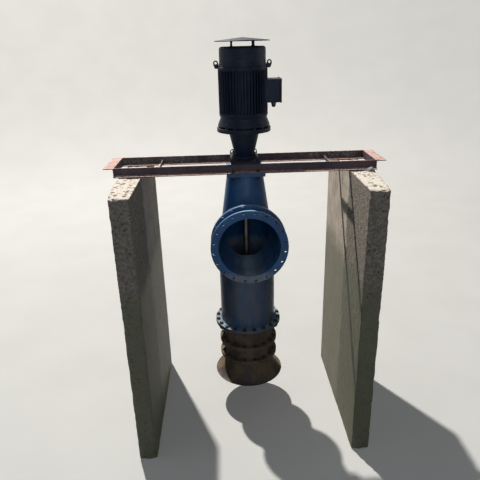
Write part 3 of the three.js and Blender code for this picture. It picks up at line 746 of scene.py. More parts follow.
# %% [markdown]
# Each pier is one casting: a thick wall, flat on the inner side, whose outer side tapers a little
# towards the front end. It would be poured between boards, so its faces are flat but never perfect,
# and its corners have been knocked off over the years. The mesh is a fine grid over the outside of the
# solid block. Every point is pulled in a little: along edges by a chip radius that changes from place
# to place, and on faces by a few millimetres of unevenness. Points only move inwards, so that the
# pier keeps its size.

# %% Concrete piers
def levels(keys, pitch, fine=(3, 8, 16)):
    """Levels through the keys at a pitch, with closer ones beside each key."""
    found = set(keys)
    for low, high in zip(keys, keys[1:]):
        near = [step for step in fine if step < (high - low) / 2.2]
        found |= {low + step for step in near} | {high - step for step in near}
        start, end = low + near[-1], high - near[-1]
        count = max(1, round((end - start) / pitch))
        found |= {start + (end - start) * i / count for i in range(1, count)}
    return sorted(found)


def bulk(size, point, shift):
    """Smooth noise from -1 to 1 with features of a size in millimetres."""
    return noise.noise(Vector(point) / size + Vector((shift, shift * 1.7, -shift)))


pier_nose = 190
pier_taper_end = -670


def pier_outer(y, inner, outer, front):
    """How far out the pier reaches at a place along its length."""
    share = min(1.0, (y - front) / (pier_taper_end - front))
    return inner + pier_nose + (outer - inner - pier_nose) * share


def weathered_point(point, block, washed):
    """A point on the pier's outside, pulled in by chipped edges, pits and unevenness."""
    near_top = max(0.0, 1 - (block[2][1] - point[2]) / 60)
    near_front = max(0.0, 1 - (point[1] - block[1][0]) / 60)
    out_share = (point[0] - block[0][0]) / (block[0][1] - block[0][0])
    chip = 3 + 6 * max(0, bulk(85, point, 3)) + 4 * max(0, bulk(24, point, 5))
    chip += near_top * out_share * (6 + 58 * max(0, bulk(110, point, 8)) + 32 * max(0, bulk(37, point, 12)))
    chip += near_top * (1 - out_share) * 26 * max(0, bulk(42, point, 18))
    chip += near_front * (6 + 60 * max(0, bulk(95, point, 14)) + 34 * max(0, bulk(33, point, 15)))
    chip = min(chip, 58)
    inside = Vector([min(max(v, low + chip), high - chip) for v, (low, high) in zip(point, block)])
    out = (Vector(point) - inside).normalized()
    depth = 1.2 + 1.2 * bulk(160, point, 1) + 0.8 * bulk(30, point, 2)
    if point[1] < washed:
        depth += 2.5 + 3.5 * max(-0.7, bulk(38, point, 4)) + 2.2 * bulk(17, point, 6)
    if out.z > 0.6:
        depth += 3.0 + 13.0 * max(0, bulk(44, point, 7) - 0.12) + 3.0 * bulk(21, point, 9)
    return inside + out * (chip - max(depth, 0))


def concrete_pier(side):
    """One pier, as a grid over the outside of its solid block."""
    name = f"{side}_pier"
    across, along, up = extent(name)
    inner, outer = sorted(abs(v) for v in across)
    sign = 1 if across[0] > 0 else -1
    shares = [(x - inner) / (outer - inner) for x in levels([inner, outer], 14)]
    ys = levels([along[0], pier_taper_end, along[1]], 15)
    zs = levels([up[0], up[0] + 1500], 48) + levels([up[0] + 1500, up[1]], 17)[1:]
    counts = [len(shares), len(ys), len(zs)]
    points, faces, known = [], [], {}

    def corner(i, j, k):
        if (i, j, k) not in known:
            known[i, j, k] = len(points)
            reach = pier_outer(ys[j], inner, outer, along[0])
            block = [(inner, reach), along, up]
            x, y, z = weathered_point((inner + shares[i] * (reach - inner), ys[j], zs[k]), block, washed_from)
            points.append((sign * x, y, max(z, up[0])))
        return known[i, j, k]

    for flat in range(3):
        first, second = [axis for axis in range(3) if axis != flat]
        for level in (0, counts[flat] - 1):
            for a in range(counts[first] - 1):
                for b in range(counts[second] - 1):
                    quad = []
                    for da, db in ((0, 0), (1, 0), (1, 1), (0, 1)):
                        place = [level] * 3
                        place[first], place[second] = a + da, b + db
                        quad.append(corner(*place))
                    faces.append(quad)
    return piece(f"{side}_concrete_pier", (points, faces), concrete, "concrete", [name], crease=70)


for side in ("right", "left"):
    pier = concrete_pier(side)
    print(pier.name, len(pier.data.vertices), "points")

# %% [markdown]
# The frame is hot-rolled angle iron. Rolling leaves a round root between the legs and round toes, and
# sawing leaves square ends. Each length is an outline with those radii, run straight. The front and
# rear beams turn their lower legs to the outlet, and the end members turn their upper legs outwards.

# %% Angle irons
def angle_outline(heel, legs, wall, root, toe):
    """An angle iron's section from its heel. Negative legs run the other way."""
    u, v = [1 if leg > 0 else -1 for leg in legs]
    section = [
        (0, 0, 1.0),
        (legs[0], 0, 0.6),
        (legs[0], v * wall, toe),
        (u * wall, v * wall, root),
        (u * wall, legs[1], toe),
        (0, legs[1], 0.6),
    ]
    placed = [(heel[0] + a, heel[1] + b, radius) for a, b, radius in section]
    return softened(placed, steps=4)


beam_wall = 8


def angle_iron(name, ends, across, heel, toes, wall=beam_wall, root=9, toe=4.5, corner=0.8):
    """An angle iron over one solid, between the places of its heel and of its two toes."""
    legs = [there - here for here, there in zip(heel, toes)]
    outline = angle_outline(heel, legs, wall, root, toe)
    piece(name + "_angle", run(outline, *ends, across), *primer, [name], corner=corner)


for name in ("front_beam", "rear_beam"):
    x, y, z = extent(name)
    angle_iron(name, x, "yz", (y[1], z[0]), (y[0], z[1]))
for side in ("right", "left"):
    x, y, z = extent(f"{side}_end_member")
    near, far = sorted(x, key=abs)
    angle_iron(f"{side}_end_member", y, "xz", (near, z[1]), (far, z[0]))
    x, y, z = extent(f"{side}_cross_member")
    near, far = sorted(x, key=abs)
    angle_iron(f"{side}_cross_member", y, "xz", (near, z[0]), (far, z[1]), 5, 5, 2.5, 0.6)

# %% [markdown]
# A weld bead is a rounded ridge with fine ripples, one for each stop of the welder's hand. It is a tube
# laid along the joint, half sunk in the steel, whose thickness rises and falls every few millimetres.

# %% Weld beads
def bead(path, width, closed=False, ripple=5.0):
    """A weld bead of a width along a path of points in millimetres."""
    lengths = [(Vector(b) - Vector(a)).length for a, b in zip(path, path[1:] + path[:1])]
    if not closed:
        lengths.pop()
    total = sum(lengths)
    count = max(2, int(total / (ripple / 2)))
    rings, place, walked = [], 0, 0.0
    for step in range(count + (0 if closed else 1)):
        target = total * step / count
        while place < len(lengths) - 1 and walked + lengths[place] < target:
            walked += lengths[place]
            place += 1
        here, there = Vector(path[place]), Vector(path[(place + 1) % len(path)])
        along = (there - here).normalized()
        point = here + along * (target - walked)
        side = along.orthogonal().normalized()
        up = along.cross(side)
        swell = 1 + 0.10 * math.cos(math.pi * step) + 0.10 * noise.noise(point / 21)
        if not closed and step in (0, count):
            swell = 0.35
        rings.append([point + (side * a + up * b) * width / 2 * swell for a, b in round_points(1, 8)])
    points = [tuple(point) for ring_points in rings for point in ring_points]
    faces = []
    spans = len(rings) if closed else len(rings) - 1
    for row in range(spans):
        here, there = row * 8, (row + 1) % len(rings) * 8
        a, b = rings[row][0], rings[(row + 1) % len(rings)]
        twist = min(range(8), key=lambda i: (b[i] - a).length)
        for i in range(8):
            j = (i + 1) % 8
            faces.append((here + i, here + j, there + (j + twist) % 8, there + (i + twist) % 8))
    if not closed:
        faces += [tuple(range(8)), tuple(range(len(points) - 8, len(points)))]
    return points, faces


def round_bead(radius, height, width, sides=96):
    """A bead all the way round the vertical axis."""
    return bead([(*point, height) for point in round_points(radius, sides)], width, closed=True)


frame_welds = []
for sign in (1, -1):
    x, _, z = extent("right_end_member")
    end = sign * x[0]
    for face in (extent("front_beam")[1][1] - beam_wall, extent("rear_beam")[1][1] - beam_wall):
        frame_welds.append(bead([(end, face, z[0] + 4), (end, face, z[1] - 3)], 9))
        frame_welds.append(bead([(end, face, z[0] + beam_wall), (end, face - 55, z[0] + beam_wall)], 8))
    x, y, z = extent("right_cross_member")
    for at in (x[0], x[0] + 5):
        frame_welds.append(bead([(sign * at, y[1] - 1, z[0] + 6), (sign * at, y[1] - 1, z[1] - 3)], 6))
piece("frame_weld_beads", joined(frame_welds), *primer, crease=60)
print("frame weld beads", len(frame_welds))

# %% [markdown]
# Fasteners are standard: a nut is as wide as one and a half threads and not quite as high as one. Each
# nut sits on a washer, and the stud's end stands a little above it. The thread's turns are modelled,
# because a nut on a bare rod looks wrong from close by.

# %% Nuts, bolts and washers
def hexagon(flats, height):
    """A nut or bolt head whose corners are turned off."""
    corner = flats / math.sqrt(3)
    profile = [
        (0, 0),
        (corner * 0.95, 0),
        (corner, height * 0.07),
        (corner, height * 0.84),
        (flats * 0.49, height),
        (0, height),
    ]
    return turned(profile, 6)


def washer(size):
    """A washer for a thread of a size, with broken edges."""
    return hoop(size * 0.52, size, 0, size * 0.15, corner=size * 0.04, sides=32)


def nut_on_stud(size, above=0.5):
    """Washer, nut and the threaded end of the stud, standing on z 0."""
    start = size * 0.15
    height = size * 0.82
    profile = [(0, 0), (size / 2, 0)]
    level = start + height - 1
    pitch = size * 0.13
    top = start + height + size * above
    while level < top - pitch:
        profile += [(size / 2 - size * 0.06, level), (size / 2, level + pitch / 2)]
        level += pitch
    profile += [(size * 0.38, top), (0, top)]
    nut = shifted(hexagon(size * 1.52, height), 0, 0, start)
    return joined([washer(size), nut, turned(profile, 20)])


def bolt_head(size):
    """Washer and hexagon head, standing on z 0."""
    return joined([washer(size), shifted(hexagon(size * 1.52, size * 0.65), 0, 0, size * 0.15)])


print("an M24 nut on its stud has", len(nut_on_stud(24)[1]), "faces")

# %% [markdown]
# Three steel plates hold the pump to the frame. The base plate lies on the beams and carries the stool.
# Two plates hang under the beams' lower legs: one is bolted to them, and the other is the top of the
# pump's head. Long studs clamp all three together, with nuts that were painted over on the base
# plate, and short bolts go through the front beam's leg. A loop of round bar is welded on each rear
# corner of the base plate, to lift the pump by.

# %% Plates and their studs
shaft_hole = 62
for name, node, coat in (
    ("base_plate_steel", "base_plate", navy),
    ("hanger_plate", "head_plate", blue),
    ("head_cover_plate", "head_top_plate", blue),
):
    x, y, z = extent(node)
    drill = rod(shaft_hole, z[0] - 5, z[1] + 5, 64)
    bevelled(cut_piece(name, block(x, y, z), [drill], *coat, [node]), 1.5)


def lifting_loop():
    """A loop of 11 mm bar, 57 mm wide, that stands on z 0 with its opening facing the front."""
    ring = moved(turned(round_points(5.5, 16, 23), 48), Matrix.Rotation(math.pi / 2, 4, "X"))
    toes = [shifted(round_bead(6.5, 1, 6, 24), side * 22, 0, 0) for side in (-1, 1)]
    return joined([shifted(ring, 0, 0, 12), *toes])


base_top = extent("base_plate")[2][1]
leg_top = extent("front_beam")[2][0] + beam_wall
cover_bottom = extent("head_top_plate")[2][0]
clamp_x, clamp_y, leg_bolt = 128, 226, (124, -280)
plate_nuts, fasteners, leg_bolts, loops = [], [], [], []
for side in (-1, 1):
    loops.append(shifted(lifting_loop(), side * 119, 238, base_top))
    for end, across in ((-1, clamp_x), (1, clamp_x - 32)):
        plate_nuts.append(shifted(nut_on_stud(30, 0.3), side * across, end * clamp_y, base_top))
        below = (side * across, end * clamp_y, cover_bottom)
        fasteners.append(standing(nut_on_stud(30, 0.4), below, (0, 0, -1), side))
        shank = rod(15, cover_bottom, base_top, 24)
        fasteners.append(shifted(shank, side * across, end * clamp_y, 0))
    place = (side * leg_bolt[0], leg_bolt[1])
    leg_bolts.append(shifted(nut_on_stud(18, 0.5), *place, leg_top))
    leg_bolts.append(standing(bolt_head(18), (*place, cover_bottom), (0, 0, -1), side))
piece("base_plate_nuts", joined(plate_nuts), *navy, crease=28)
piece("frame_clamp_studs", joined(fasteners), *black_steel, crease=28)
piece("frame_leg_bolts", joined(leg_bolts), *black_steel, crease=28)
piece("base_plate_lifting_loops", joined(loops), *navy, crease=40)
print("clamp studs", len(plate_nuts))

# %% [markdown]
# Between the plates the shaft runs through a seal housing, an iron casting with a flange at each end.
# The shaft itself is one turned bar from the motor's seat down to the propeller.

# %% Seal housing and shaft
x, y, z = extent("shaft_seal_housing")
seal_radius = x[1]
shaft_radius = extent("drive_shaft")[0][1]
housing = lathed([
    (shaft_radius + 0.3, z[0]),
    (seal_radius, z[0], 2),
    (seal_radius, z[0] + 14, 2),
    (seal_radius - 24, z[0] + 20, 6),
    (seal_radius - 24, z[1] - 20, 6),
    (seal_radius, z[1] - 13, 2),
    (seal_radius, z[1], 2),
    (shaft_radius + 0.3, z[1]),
], 72)
piece("seal_housing_casting", housing, *iron, ["shaft_seal_housing"])
shaft_low, shaft_high = extent("drive_shaft")[2]
bar = lathed([
    (0, shaft_low), (shaft_radius, shaft_low), (shaft_radius, shaft_high), (0, shaft_high),
], 48)
piece("shaft_bar", bar, shaft_steel, "shaft_steel", ["drive_shaft"])
print("shaft", round(shaft_high - shaft_low), "mm long")

# %% [markdown]
# The stool is welded from a foot ring, a rolled cone and the seat that the motor's flange stands on.
# Hexagon nuts hold its foot to the base plate, and a bead closes each joint.

# %% Motor stool
foot_low, foot_top = extent("stool_foot_ring")[2]
foot_radius = extent("stool_foot_ring")[0][1]
cone_low, cone_top = extent("stool_cone")[2]
neck = extent("stool_cone")[0][1]
waist, stool_wall = 98, 12
stool_cone = lathed([
    (waist - stool_wall, cone_low),
    (waist, cone_low),
    (waist, foot_top),
    (neck, cone_top),
    (neck - stool_wall, cone_top),
    (waist - stool_wall, foot_top),
], 96, radius=1)
piece("stool_rolled_cone", stool_cone, *navy, ["stool_cone"])
foot_ring = hoop(waist + 0.3, foot_radius, foot_low, foot_top, 1.5)
piece("stool_foot_flange", foot_ring, *navy, ["stool_foot_ring"])
seat_low, seat_top = extent("stool_seat_ring")[2]
seat_radius = extent("stool_seat_ring")[0][1]
seat_ring = hoop(120, seat_radius, seat_low, seat_top, 2.0, 128)
piece("stool_motor_seat", seat_ring, *navy, ["stool_seat_ring"])
stool_beads = joined([round_bead(waist + 1, foot_top + 1, 9), round_bead(neck + 1, cone_top - 1, 9)])
piece("stool_weld_beads", stool_beads, *navy, crease=60)
foot_circle = (waist + foot_radius) / 2 + 2
foot_nuts = bolt_circle(nut_on_stud(12, 0.4), 8, foot_circle, foot_top, start=math.radians(22.5))
piece("stool_foot_nuts", foot_nuts, *navy, crease=28)
print("stool from", round(foot_low), "to", round(seat_top), "mm")

# %% [markdown]
# The motor's lower end shield is a grey iron casting. A flat flange sits on the stool and takes eight
# bolts, then comes a short neck, a skirt that keeps rain off the joint, and a waist. Four tall bosses
# on the skirt take the long bolts that hold the shield to the frame. The flange and skirt are turned,
# so they have crisp corners, while the cast waist is soft.

# %% Lower end shield
fin_tip = 246
flange_top = seat_top + 20
frame_low, frame_high = extent("motor_frame")[2]
skirt_low = 355
boss_ring, flange_bolt_ring = 240, 250
shield = lathed([
    (0, seat_top),
    (seat_radius, seat_top, 2),
    (seat_radius, flange_top, 2),
    (215, flange_top, 3),
    (215, skirt_low, 3),
    (264, skirt_low, 1.5),
    (264, skirt_low + 7, 4),
    (235, 435, 18),
    (fin_tip, frame_low - 12, 5),
    (fin_tip, frame_low, 1.5),
    (0, frame_low),
])
boss = lathed([(0, -22), (22, -22, 1), (22, 18, 5), (0, 18)], 32)
bosses = bolt_circle(boss, 4, boss_ring, skirt_low, start=math.radians(45))
piece("motor_lower_shield_casting", joined([shield, bosses]), *navy, ["motor_lower_shield"])
flange_bolts = bolt_circle(bolt_head(14), 8, flange_bolt_ring, flange_top, start=math.radians(22.5))
piece("motor_flange_bolts", flange_bolts, dark_steel, "shaft_steel", crease=28)
boss_nuts = bolt_circle(nut_on_stud(18, 0.4), 4, boss_ring, skirt_low + 18, start=math.radians(45))
piece("shield_boss_nuts", boss_nuts, *zinc, crease=28)
print("shield from", round(seat_top), "to", round(frame_low), "mm")

# %% [markdown]
# The frame sheds the motor's heat through upright fins cast round its barrel. Each fin tapers to a
# rounded tip, because the sand mould must lift off it. The outline of one fin, repeated round the
# barrel, is run up the motor's length.

# %% Finned frame
fin_count = 44
barrel = 217
half_fin = [
    (barrel, 10.5), (barrel + 1.5, 6.5), (barrel + 6, 4.9),
    (fin_tip - 2.5, 3.4), (fin_tip - 0.6, 2.4), (fin_tip, 0.9),
]
whole_fin = [(radius, -half) for radius, half in half_fin] + half_fin[::-1]
fin_outline = []
for fin in range(fin_count):
    for radius, aside in whole_fin:
        angle = 2 * math.pi * fin / fin_count + aside / radius
        fin_outline.append((radius * math.cos(angle), radius * math.sin(angle)))
finned = run(fin_outline, frame_low, frame_high, across="xy")
band_height = 16
band_ends = ((frame_low, frame_low + band_height), (frame_high - band_height, frame_high))
end_bands = [hoop(barrel - 4, fin_tip - 5, *ends, 4, 128) for ends in band_ends]
piece("motor_finned_frame", joined([finned, *end_bands]), *navy, ["motor_frame"], crease=40)
print("finned frame with", fin_count, "fins")

# %% [markdown]
# The upper end shield closes the frame. It carries two eye lugs to lift the motor by, and screws all
# round. A lug is a flat cheek with a hole, so its outline is drawn with arcs and cut through.

# %% Upper end shield and lifting lugs
shield_top = frame_high + 35
upper_shield = lathed([
    (0, frame_high), (fin_tip, frame_high, 1.5), (fin_tip, frame_high + 14, 3),
    (fin_tip - 8, frame_high + 20, 4), (fin_tip - 10, shield_top, 3), (0, shield_top),
])
eye_x, eye_z = fin_tip + 18, shield_top + 22


def lifting_lug(sign):
    """A cheek with a round head, cut through by its eye."""
    head = round_points(24, 14, eye_x, eye_z, math.pi, 1)
    cheek = [(fin_tip - 14, frame_high + 4), (eye_x + 8, frame_high + 4), (eye_x + 22, shield_top), *head,
             (fin_tip - 14, shield_top - 6)]
    return run([(sign * across, up) for across, up in cheek], -12, 12, across="xz")


def lug_eye(sign):
    """The round bar that cuts a lug's eye."""
    return run(round_points(12, 24, sign * eye_x, eye_z), -20, 20, across="xz")


lugs = cut_piece("motor_lifting_lugs", joined([lifting_lug(1), lifting_lug(-1)]), [lug_eye(1), lug_eye(-1)],
                 *navy, ["motor_upper_shield"], crease=30)
bevelled(lugs, 2.5, segments=3, harden=False)
piece("motor_upper_shield_casting", upper_shield, *navy, crease=34)
shield_screws = []
for step in range(8):
    angle = math.radians(22.5 + 45 * step)
    place = (fin_tip * math.cos(angle), fin_tip * math.sin(angle), frame_high + 8)
    shield_screws.append(standing(hexagon(13, 5), place, (math.cos(angle), math.sin(angle), 0), step))
piece("motor_shield_screws", joined(shield_screws), *black_steel, crease=28)
print("upper shield to", round(shield_top), "mm")

# %% [markdown]
# A spun steel cowl covers the cooling fan, with a guard of rings and bars in its top to let air in. A
# shallow conical hood on four posts keeps rain out of the guard. The hood's edge is rolled for
# stiffness, and a nut holds it on each post.

# %% Fan cowl, guard and rain hood
cowl_low, cowl_top = extent("fan_cowl")[2]
cowl_radius = extent("fan_cowl")[0][1]
mouth = 132
cowl = lathed([
    (0, cowl_low),
    (cowl_radius, cowl_low, 1),
    (cowl_radius, cowl_low + 18, 2),
    (cowl_radius - 3, cowl_low + 21, 3),
    (cowl_radius - 3, cowl_top - 2, 30),
    (mouth, cowl_top, 3),
    (mouth, cowl_top - 26, 2),
    (0, cowl_top - 26),
], steps=6)
piece("fan_cowl_spinning", cowl, *navy, ["fan_cowl"])
guard_radii = range(24, mouth, 15)
guard = [hoop(radius - 1.6, radius + 1.6, cowl_top - 8, cowl_top - 3, 1, 72) for radius in guard_radii]
for step in range(8):
    angle = math.pi * step / 8
    bar = block((-mouth - 1, mouth + 1), (-2, 2), (cowl_top - 12, cowl_top - 8))
    guard.append(moved(bar, Matrix.Rotation(angle, 4, "Z")))
piece("fan_guard", joined(guard), *navy, crease=30)

hood_low = 1150
hood_top = extent("rain_hood")[2][1]
hood_radius = extent("rain_hood")[0][1]
hood_sheet = lathed([
    (0, hood_top - 4),
    (hood_radius - 7, hood_low + 5, 2),
    (hood_radius - 6, hood_low + 1, 2),
    (hood_radius - 3, hood_low, 2),
    (hood_radius, hood_low + 3, 3),
    (hood_radius - 1, hood_low + 7, 3),
    (hood_radius - 6, hood_low + 9, 3),
    (0, hood_top),
])
post_at = 150
post_top = hood_low + (hood_top - hood_low) * (1 - post_at / hood_radius)
post = lathed([(0, 0), (8, 0), (8, post_top - cowl_top + 1), (0, post_top - cowl_top + 1)], 24, radius=1)
collar = hoop(7, 13, 0, 6, 1, 24)
posts = bolt_circle(joined([post, collar]), 4, post_at, cowl_top - 1, start=math.radians(45))
piece("rain_hood_sheet", joined([hood_sheet, posts]), *navy, ["rain_hood"], crease=30)
post_nuts = bolt_circle(nut_on_stud(8, 0.3), 4, post_at, post_top - 1.5, start=math.radians(45))
piece("rain_hood_nuts", post_nuts, *zinc, crease=28)
print("hood", round(2 * hood_radius), "mm across, top at", round(hood_top))

# %% [markdown]
# The terminal box is a cast case on the right of the frame. Its lid overhangs a little, sits on a black
# gasket and is held by four screws. The cable would enter through a nylon gland in the box's bottom.

# %% Terminal box
x, y, z = extent("terminal_box")
saddle = fin_tip + 0.5
saddle_bar = rod(saddle, z[0] - 5, z[1] + 5, 128)
plan = softened([(150, y[0], 1), (x[1] - 3, y[0], 8), (x[1] - 3, y[1], 8), (150, y[1], 1)], steps=4)
box_body = run(plan, *z, across="xy")
cut_piece("terminal_box_case", box_body, [saddle_bar], *navy, ["terminal_box"], 38)


def rounded_rectangle(y, z, corner, inset=0, steps=4):
    """A rectangle between two pairs of levels, drawn in by an inset, with round corners."""
    left, right = y[0] + inset, y[1] - inset
    low, high = z[0] + inset, z[1] - inset
    return softened([(left, low), (right, low), (right, high), (left, high)], corner, steps)


gasket = run(rounded_rectangle(y, z, 7, inset=2), x[1] - 3, x[1])
piece("terminal_box_gasket", gasket, nylon, "gland_nylon")
lid_x, lid_y, lid_z = extent("terminal_box_lid")
lid_outline = rounded_rectangle(lid_y, lid_z, 10, steps=5)
lid = run(lid_outline, lid_x[0], lid_x[1] - 1)
piece("terminal_box_cover", lid, *navy, ["terminal_box_lid"], crease=40, corner=3)
lid_screws = []
screw_inset = 16
screw_head = joined([hoop(4, 9, 0, 1.2, 0.4, 24), hexagon(13, 5)])
for sy in (lid_y[0] + screw_inset, lid_y[1] - screw_inset):
    for sz in (lid_z[0] + screw_inset, lid_z[1] - screw_inset):
        lid_screws.append(standing(screw_head, (lid_x[1] - 4.5, sy, sz), (1, 0, 0), sy + sz))
piece("terminal_box_screws", joined(lid_screws), *zinc, crease=28)

gland_x, gland_y, gland_z = extent("cable_gland")
gland_at = ((gland_x[0] + gland_x[1]) / 2, (gland_y[0] + gland_y[1]) / 2)
gland_nut = shifted(hexagon(50, 20), *gland_at, gland_z[1] - 24)
gland_dome = lathed([
    (0, gland_z[0]), (14, gland_z[0], 3), (20, gland_z[0] + 8, 5), (24, gland_z[0] + 26, 3),
    (24, gland_z[1] - 22, 2), (26, gland_z[1] - 10, 2), (26, gland_z[1], 1), (0, gland_z[1]),
], 36)
piece("cable_gland_body", joined([gland_nut, shifted(gland_dome, *gland_at, 0)]), nylon, "gland_nylon",
      ["cable_gland"], crease=34)
print("terminal box", round(y[1] - y[0]), "mm wide")

# %% [markdown]
# The discharge head is rolled and welded from 10 mm plate. The flow rises in the cone and turns out
# through a flared branch. The cone is turned as a thick shell, and the branch's bore is cut out of it.
# The branch is cut back to the cone's skin, and a weld bead is laid where the two skins meet. That
# curve has no simple formula, so each of its points is found by halving the distance until they meet.

# %% Discharge head
head_low, head_high = extent("head_cone")[2]
bore, plate_wall = 300, 10
pipe_skin = bore + plate_wall
flange_rim = 377.5
neck_radius, cone_end = 187, -975
branch_root, flare_end = 242, 420
outlet_y = extent("outlet_spool")[1]
joint = -outlet_y[1]
cone_skin = [(pipe_skin, head_low), (pipe_skin, cone_end), (neck_radius, head_high)]
cone_inside = [(neck_radius - plate_wall, head_high), (bore, cone_end), (bore, head_low)]


def branch_radius(distance, inset=0):
    """The branch's outer radius at a distance in front of the shaft."""
    share = min(distance / flare_end, 1)
    return branch_root + (pipe_skin - branch_root) * share - inset


def cone_radius(height):
    """The cone's outer radius at a height."""
    if height < cone_end:
        return pipe_skin
    share = (height - cone_end) / (head_high - cone_end)
    return pipe_skin + (neck_radius - pipe_skin) * share


def branch_solid(inset, end):
    """The branch filled up, from inside the cone to its end."""
    root, rim = branch_radius(0, inset), branch_radius(flare_end, inset)
    return on_outlet(turned([(0, -1), (root, -1), (rim, flare_end), (rim, end), (0, end)], 128))


cut_piece("head_rolled_cone", turned(cone_skin + cone_inside, 128), [branch_solid(plate_wall, joint)],
          *blue, ["head_cone"], crease=35)
branch_end = joint - 20
branch_pipe = on_outlet(turned([
    (branch_radius(60), 60), (branch_radius(flare_end), flare_end), (pipe_skin, branch_end),
    (bore, branch_end), (bore, flare_end), (branch_radius(60, plate_wall), 60),
], 128))
cone_filled = turned([(0, head_low - 5), (pipe_skin, head_low - 5), *cone_skin[1:], (0, head_high)], 128)
cut_piece("head_flared_branch", branch_pipe, [cone_filled], *blue, ["head_branch"], crease=35)
piece("head_outlet_ring", on_outlet(hoop(bore, flange_rim, branch_end, joint, 2, 128)),
      *blue, ["head_outlet_flange"])


def pipe_flange(place):
    """A flange ring slipped over a pipe, with the levels of its two faces."""
    low, high = extent(place + "_flange")[2]
    ring = hoop(pipe_skin + 0.3, flange_rim, low, high, 2, 128)
    piece(place + "_ring", ring, *blue, [place + "_flange"])
    return low, high


low_ring = pipe_flange("head_lower")


def saddle_point(angle):
    """Where the branch's skin meets the cone's skin, at an angle round the branch."""
    near, far = 0.0, float(flare_end)
    for _ in range(40):
        middle = (near + far) / 2
        radius = branch_radius(middle)
        across = radius * math.cos(angle)
        height = outlet_middle + radius * math.sin(angle)
        if math.hypot(across, middle) < cone_radius(height):
            near = middle
        else:
            far = middle
    return (across, -near, height)


saddle_steps = 120
saddle_curve = [saddle_point(2 * math.pi * step / saddle_steps) for step in range(saddle_steps)]
head_beads = [
    bead(saddle_curve, 13, closed=True),
    round_bead(neck_radius + 1, head_high - 2, 10),
    round_bead(pipe_skin + 1, low_ring[1] + 1, 10),
    on_outlet(round_bead(pipe_skin + 1, branch_end - 1, 10)),
    round_bead(pipe_skin, cone_end, 8),
    bead([(0, neck_radius + 1, head_high - 6), (0, pipe_skin, cone_end)], 9),
]
piece("head_weld_beads", joined(head_beads), *blue, crease=60)
weld_length = sum(math.dist(a, b) for a, b in zip(saddle_curve, saddle_curve[1:]))
print("saddle weld", round(weld_length), "mm long")

# %% [markdown]
# The outlet ends in a short spool bolted to the head. Its flanges follow the usual sizes for a 600 mm
# bore: 755 mm across, with twenty M24 bolts on a 705 mm circle. The rear joint is bolted up. The front
# flange is free, so its twenty holes are open and show the light.

# %% Outlet spool
spool_face = -outlet_y[0]
bolt_ring, bolt_count = 352.5, 20
half_pitch = math.pi / bolt_count
spool = on_outlet(lathed([
    (bore, joint, 2),
    (flange_rim, joint, 2),
    (flange_rim, joint + 20, 2),
    (pipe_skin, joint + 20, 3),
    (pipe_skin, spool_face - 30, 3),
    (flange_rim, spool_face - 30, 2),
    (flange_rim, spool_face, 2.5),
    (bore, spool_face, 2),
]))
bit = rod(13, -40, 12, 24)
hole_bits = on_outlet(bolt_circle(bit, bolt_count, bolt_ring, spool_face, start=half_pitch))
cut_piece("outlet_spool_pipe", spool, [hole_bits], *blue, ["outlet_spool"], crease=35)
spool_beads = [on_outlet(round_bead(pipe_skin + 1, joint + 21, 10)),
               on_outlet(round_bead(pipe_skin + 1, spool_face - 31, 10))]
piece("spool_weld_beads", joined(spool_beads), *blue, crease=60)


def flange_joint(size, count, radius, above, below, start):
    """Bolt heads over a flange joint and nuts on stud ends under it."""
    heads = bolt_circle(bolt_head(size), count, radius, above, 1, start)
    nuts = bolt_circle(nut_on_stud(size, 0.4), count, radius, below, -1, start)
    return joined([heads, nuts])


outlet_bolts = on_outlet(flange_joint(24, bolt_count, bolt_ring, joint + 20, branch_end, half_pitch))
piece("outlet_joint_bolts", outlet_bolts, *blue, crease=28)
print("outlet bolts", bolt_count)

# %% [markdown]
# The column is a plain 600 mm pipe with a flange welded to each end. It hangs from the head and carries
# the wet end. Below it are cast pieces: the diffuser, which straightens the flow with upright vanes, the
# casing that the propeller runs in, and the bell that draws the flow in without a sharp edge.

# %% Column and cast casings
column_low, column_high = extent("column_pipe")[2]
column = hoop(bore, pipe_skin, column_low, column_high, 0.5, 128)
piece("column_rolled_pipe", column, *blue, ["column_pipe"])
upper_low = pipe_flange("column_upper")[0]
lower_high = pipe_flange("column_lower")[1]
column_beads = [round_bead(pipe_skin + 1, upper_low - 1, 10),
                round_bead(pipe_skin + 1, lower_high + 1, 10),
                bead([(0, pipe_skin, upper_low - 6), (0, pipe_skin, lower_high + 6)], 9)]
piece("column_weld_beads", joined(column_beads), *blue, crease=60)

diffuser_low, diffuser_high = extent("diffuser_casing")[2]
casing_low = extent("propeller_casing")[2][0]
casing_bore, casing_wall, casing_flange = 255, 18, 335
casing_skin = casing_bore + casing_wall
diffuser = lathed([
    (casing_bore, diffuser_low, 1),
    (casing_flange, diffuser_low, 2),
    (casing_flange, diffuser_low + 22, 3),
    (casing_skin, diffuser_low + 24, 9),
    (bore + casing_wall, diffuser_high - 42, 16),
    (bore + casing_wall, diffuser_high - 22, 8),
    (flange_rim, diffuser_high - 20, 3),
    (flange_rim, diffuser_high, 2),
    (bore, diffuser_high, 1),
    (bore, diffuser_high - 20, 12),
    (casing_bore, diffuser_low + 20, 12),
], steps=4)
piece("diffuser_outer_casting", diffuser, *iron, ["diffuser_casing"])
casing = lathed([
    (casing_bore, casing_low, 1),
    (casing_flange, casing_low, 2),
    (casing_flange, casing_low + 20, 3),
    (casing_skin, casing_low + 22, 9),
    (casing_skin, diffuser_low - 22, 9),
    (casing_flange, diffuser_low - 20, 3),
    (casing_flange, diffuser_low, 2),
    (casing_bore, diffuser_low, 1),
], steps=4)
piece("propeller_casing_casting", casing, *iron, ["propeller_casing"])

bell_low = extent("suction_bell")[2][0]
bell_mouth = 385
bell_depth = casing_low - bell_low


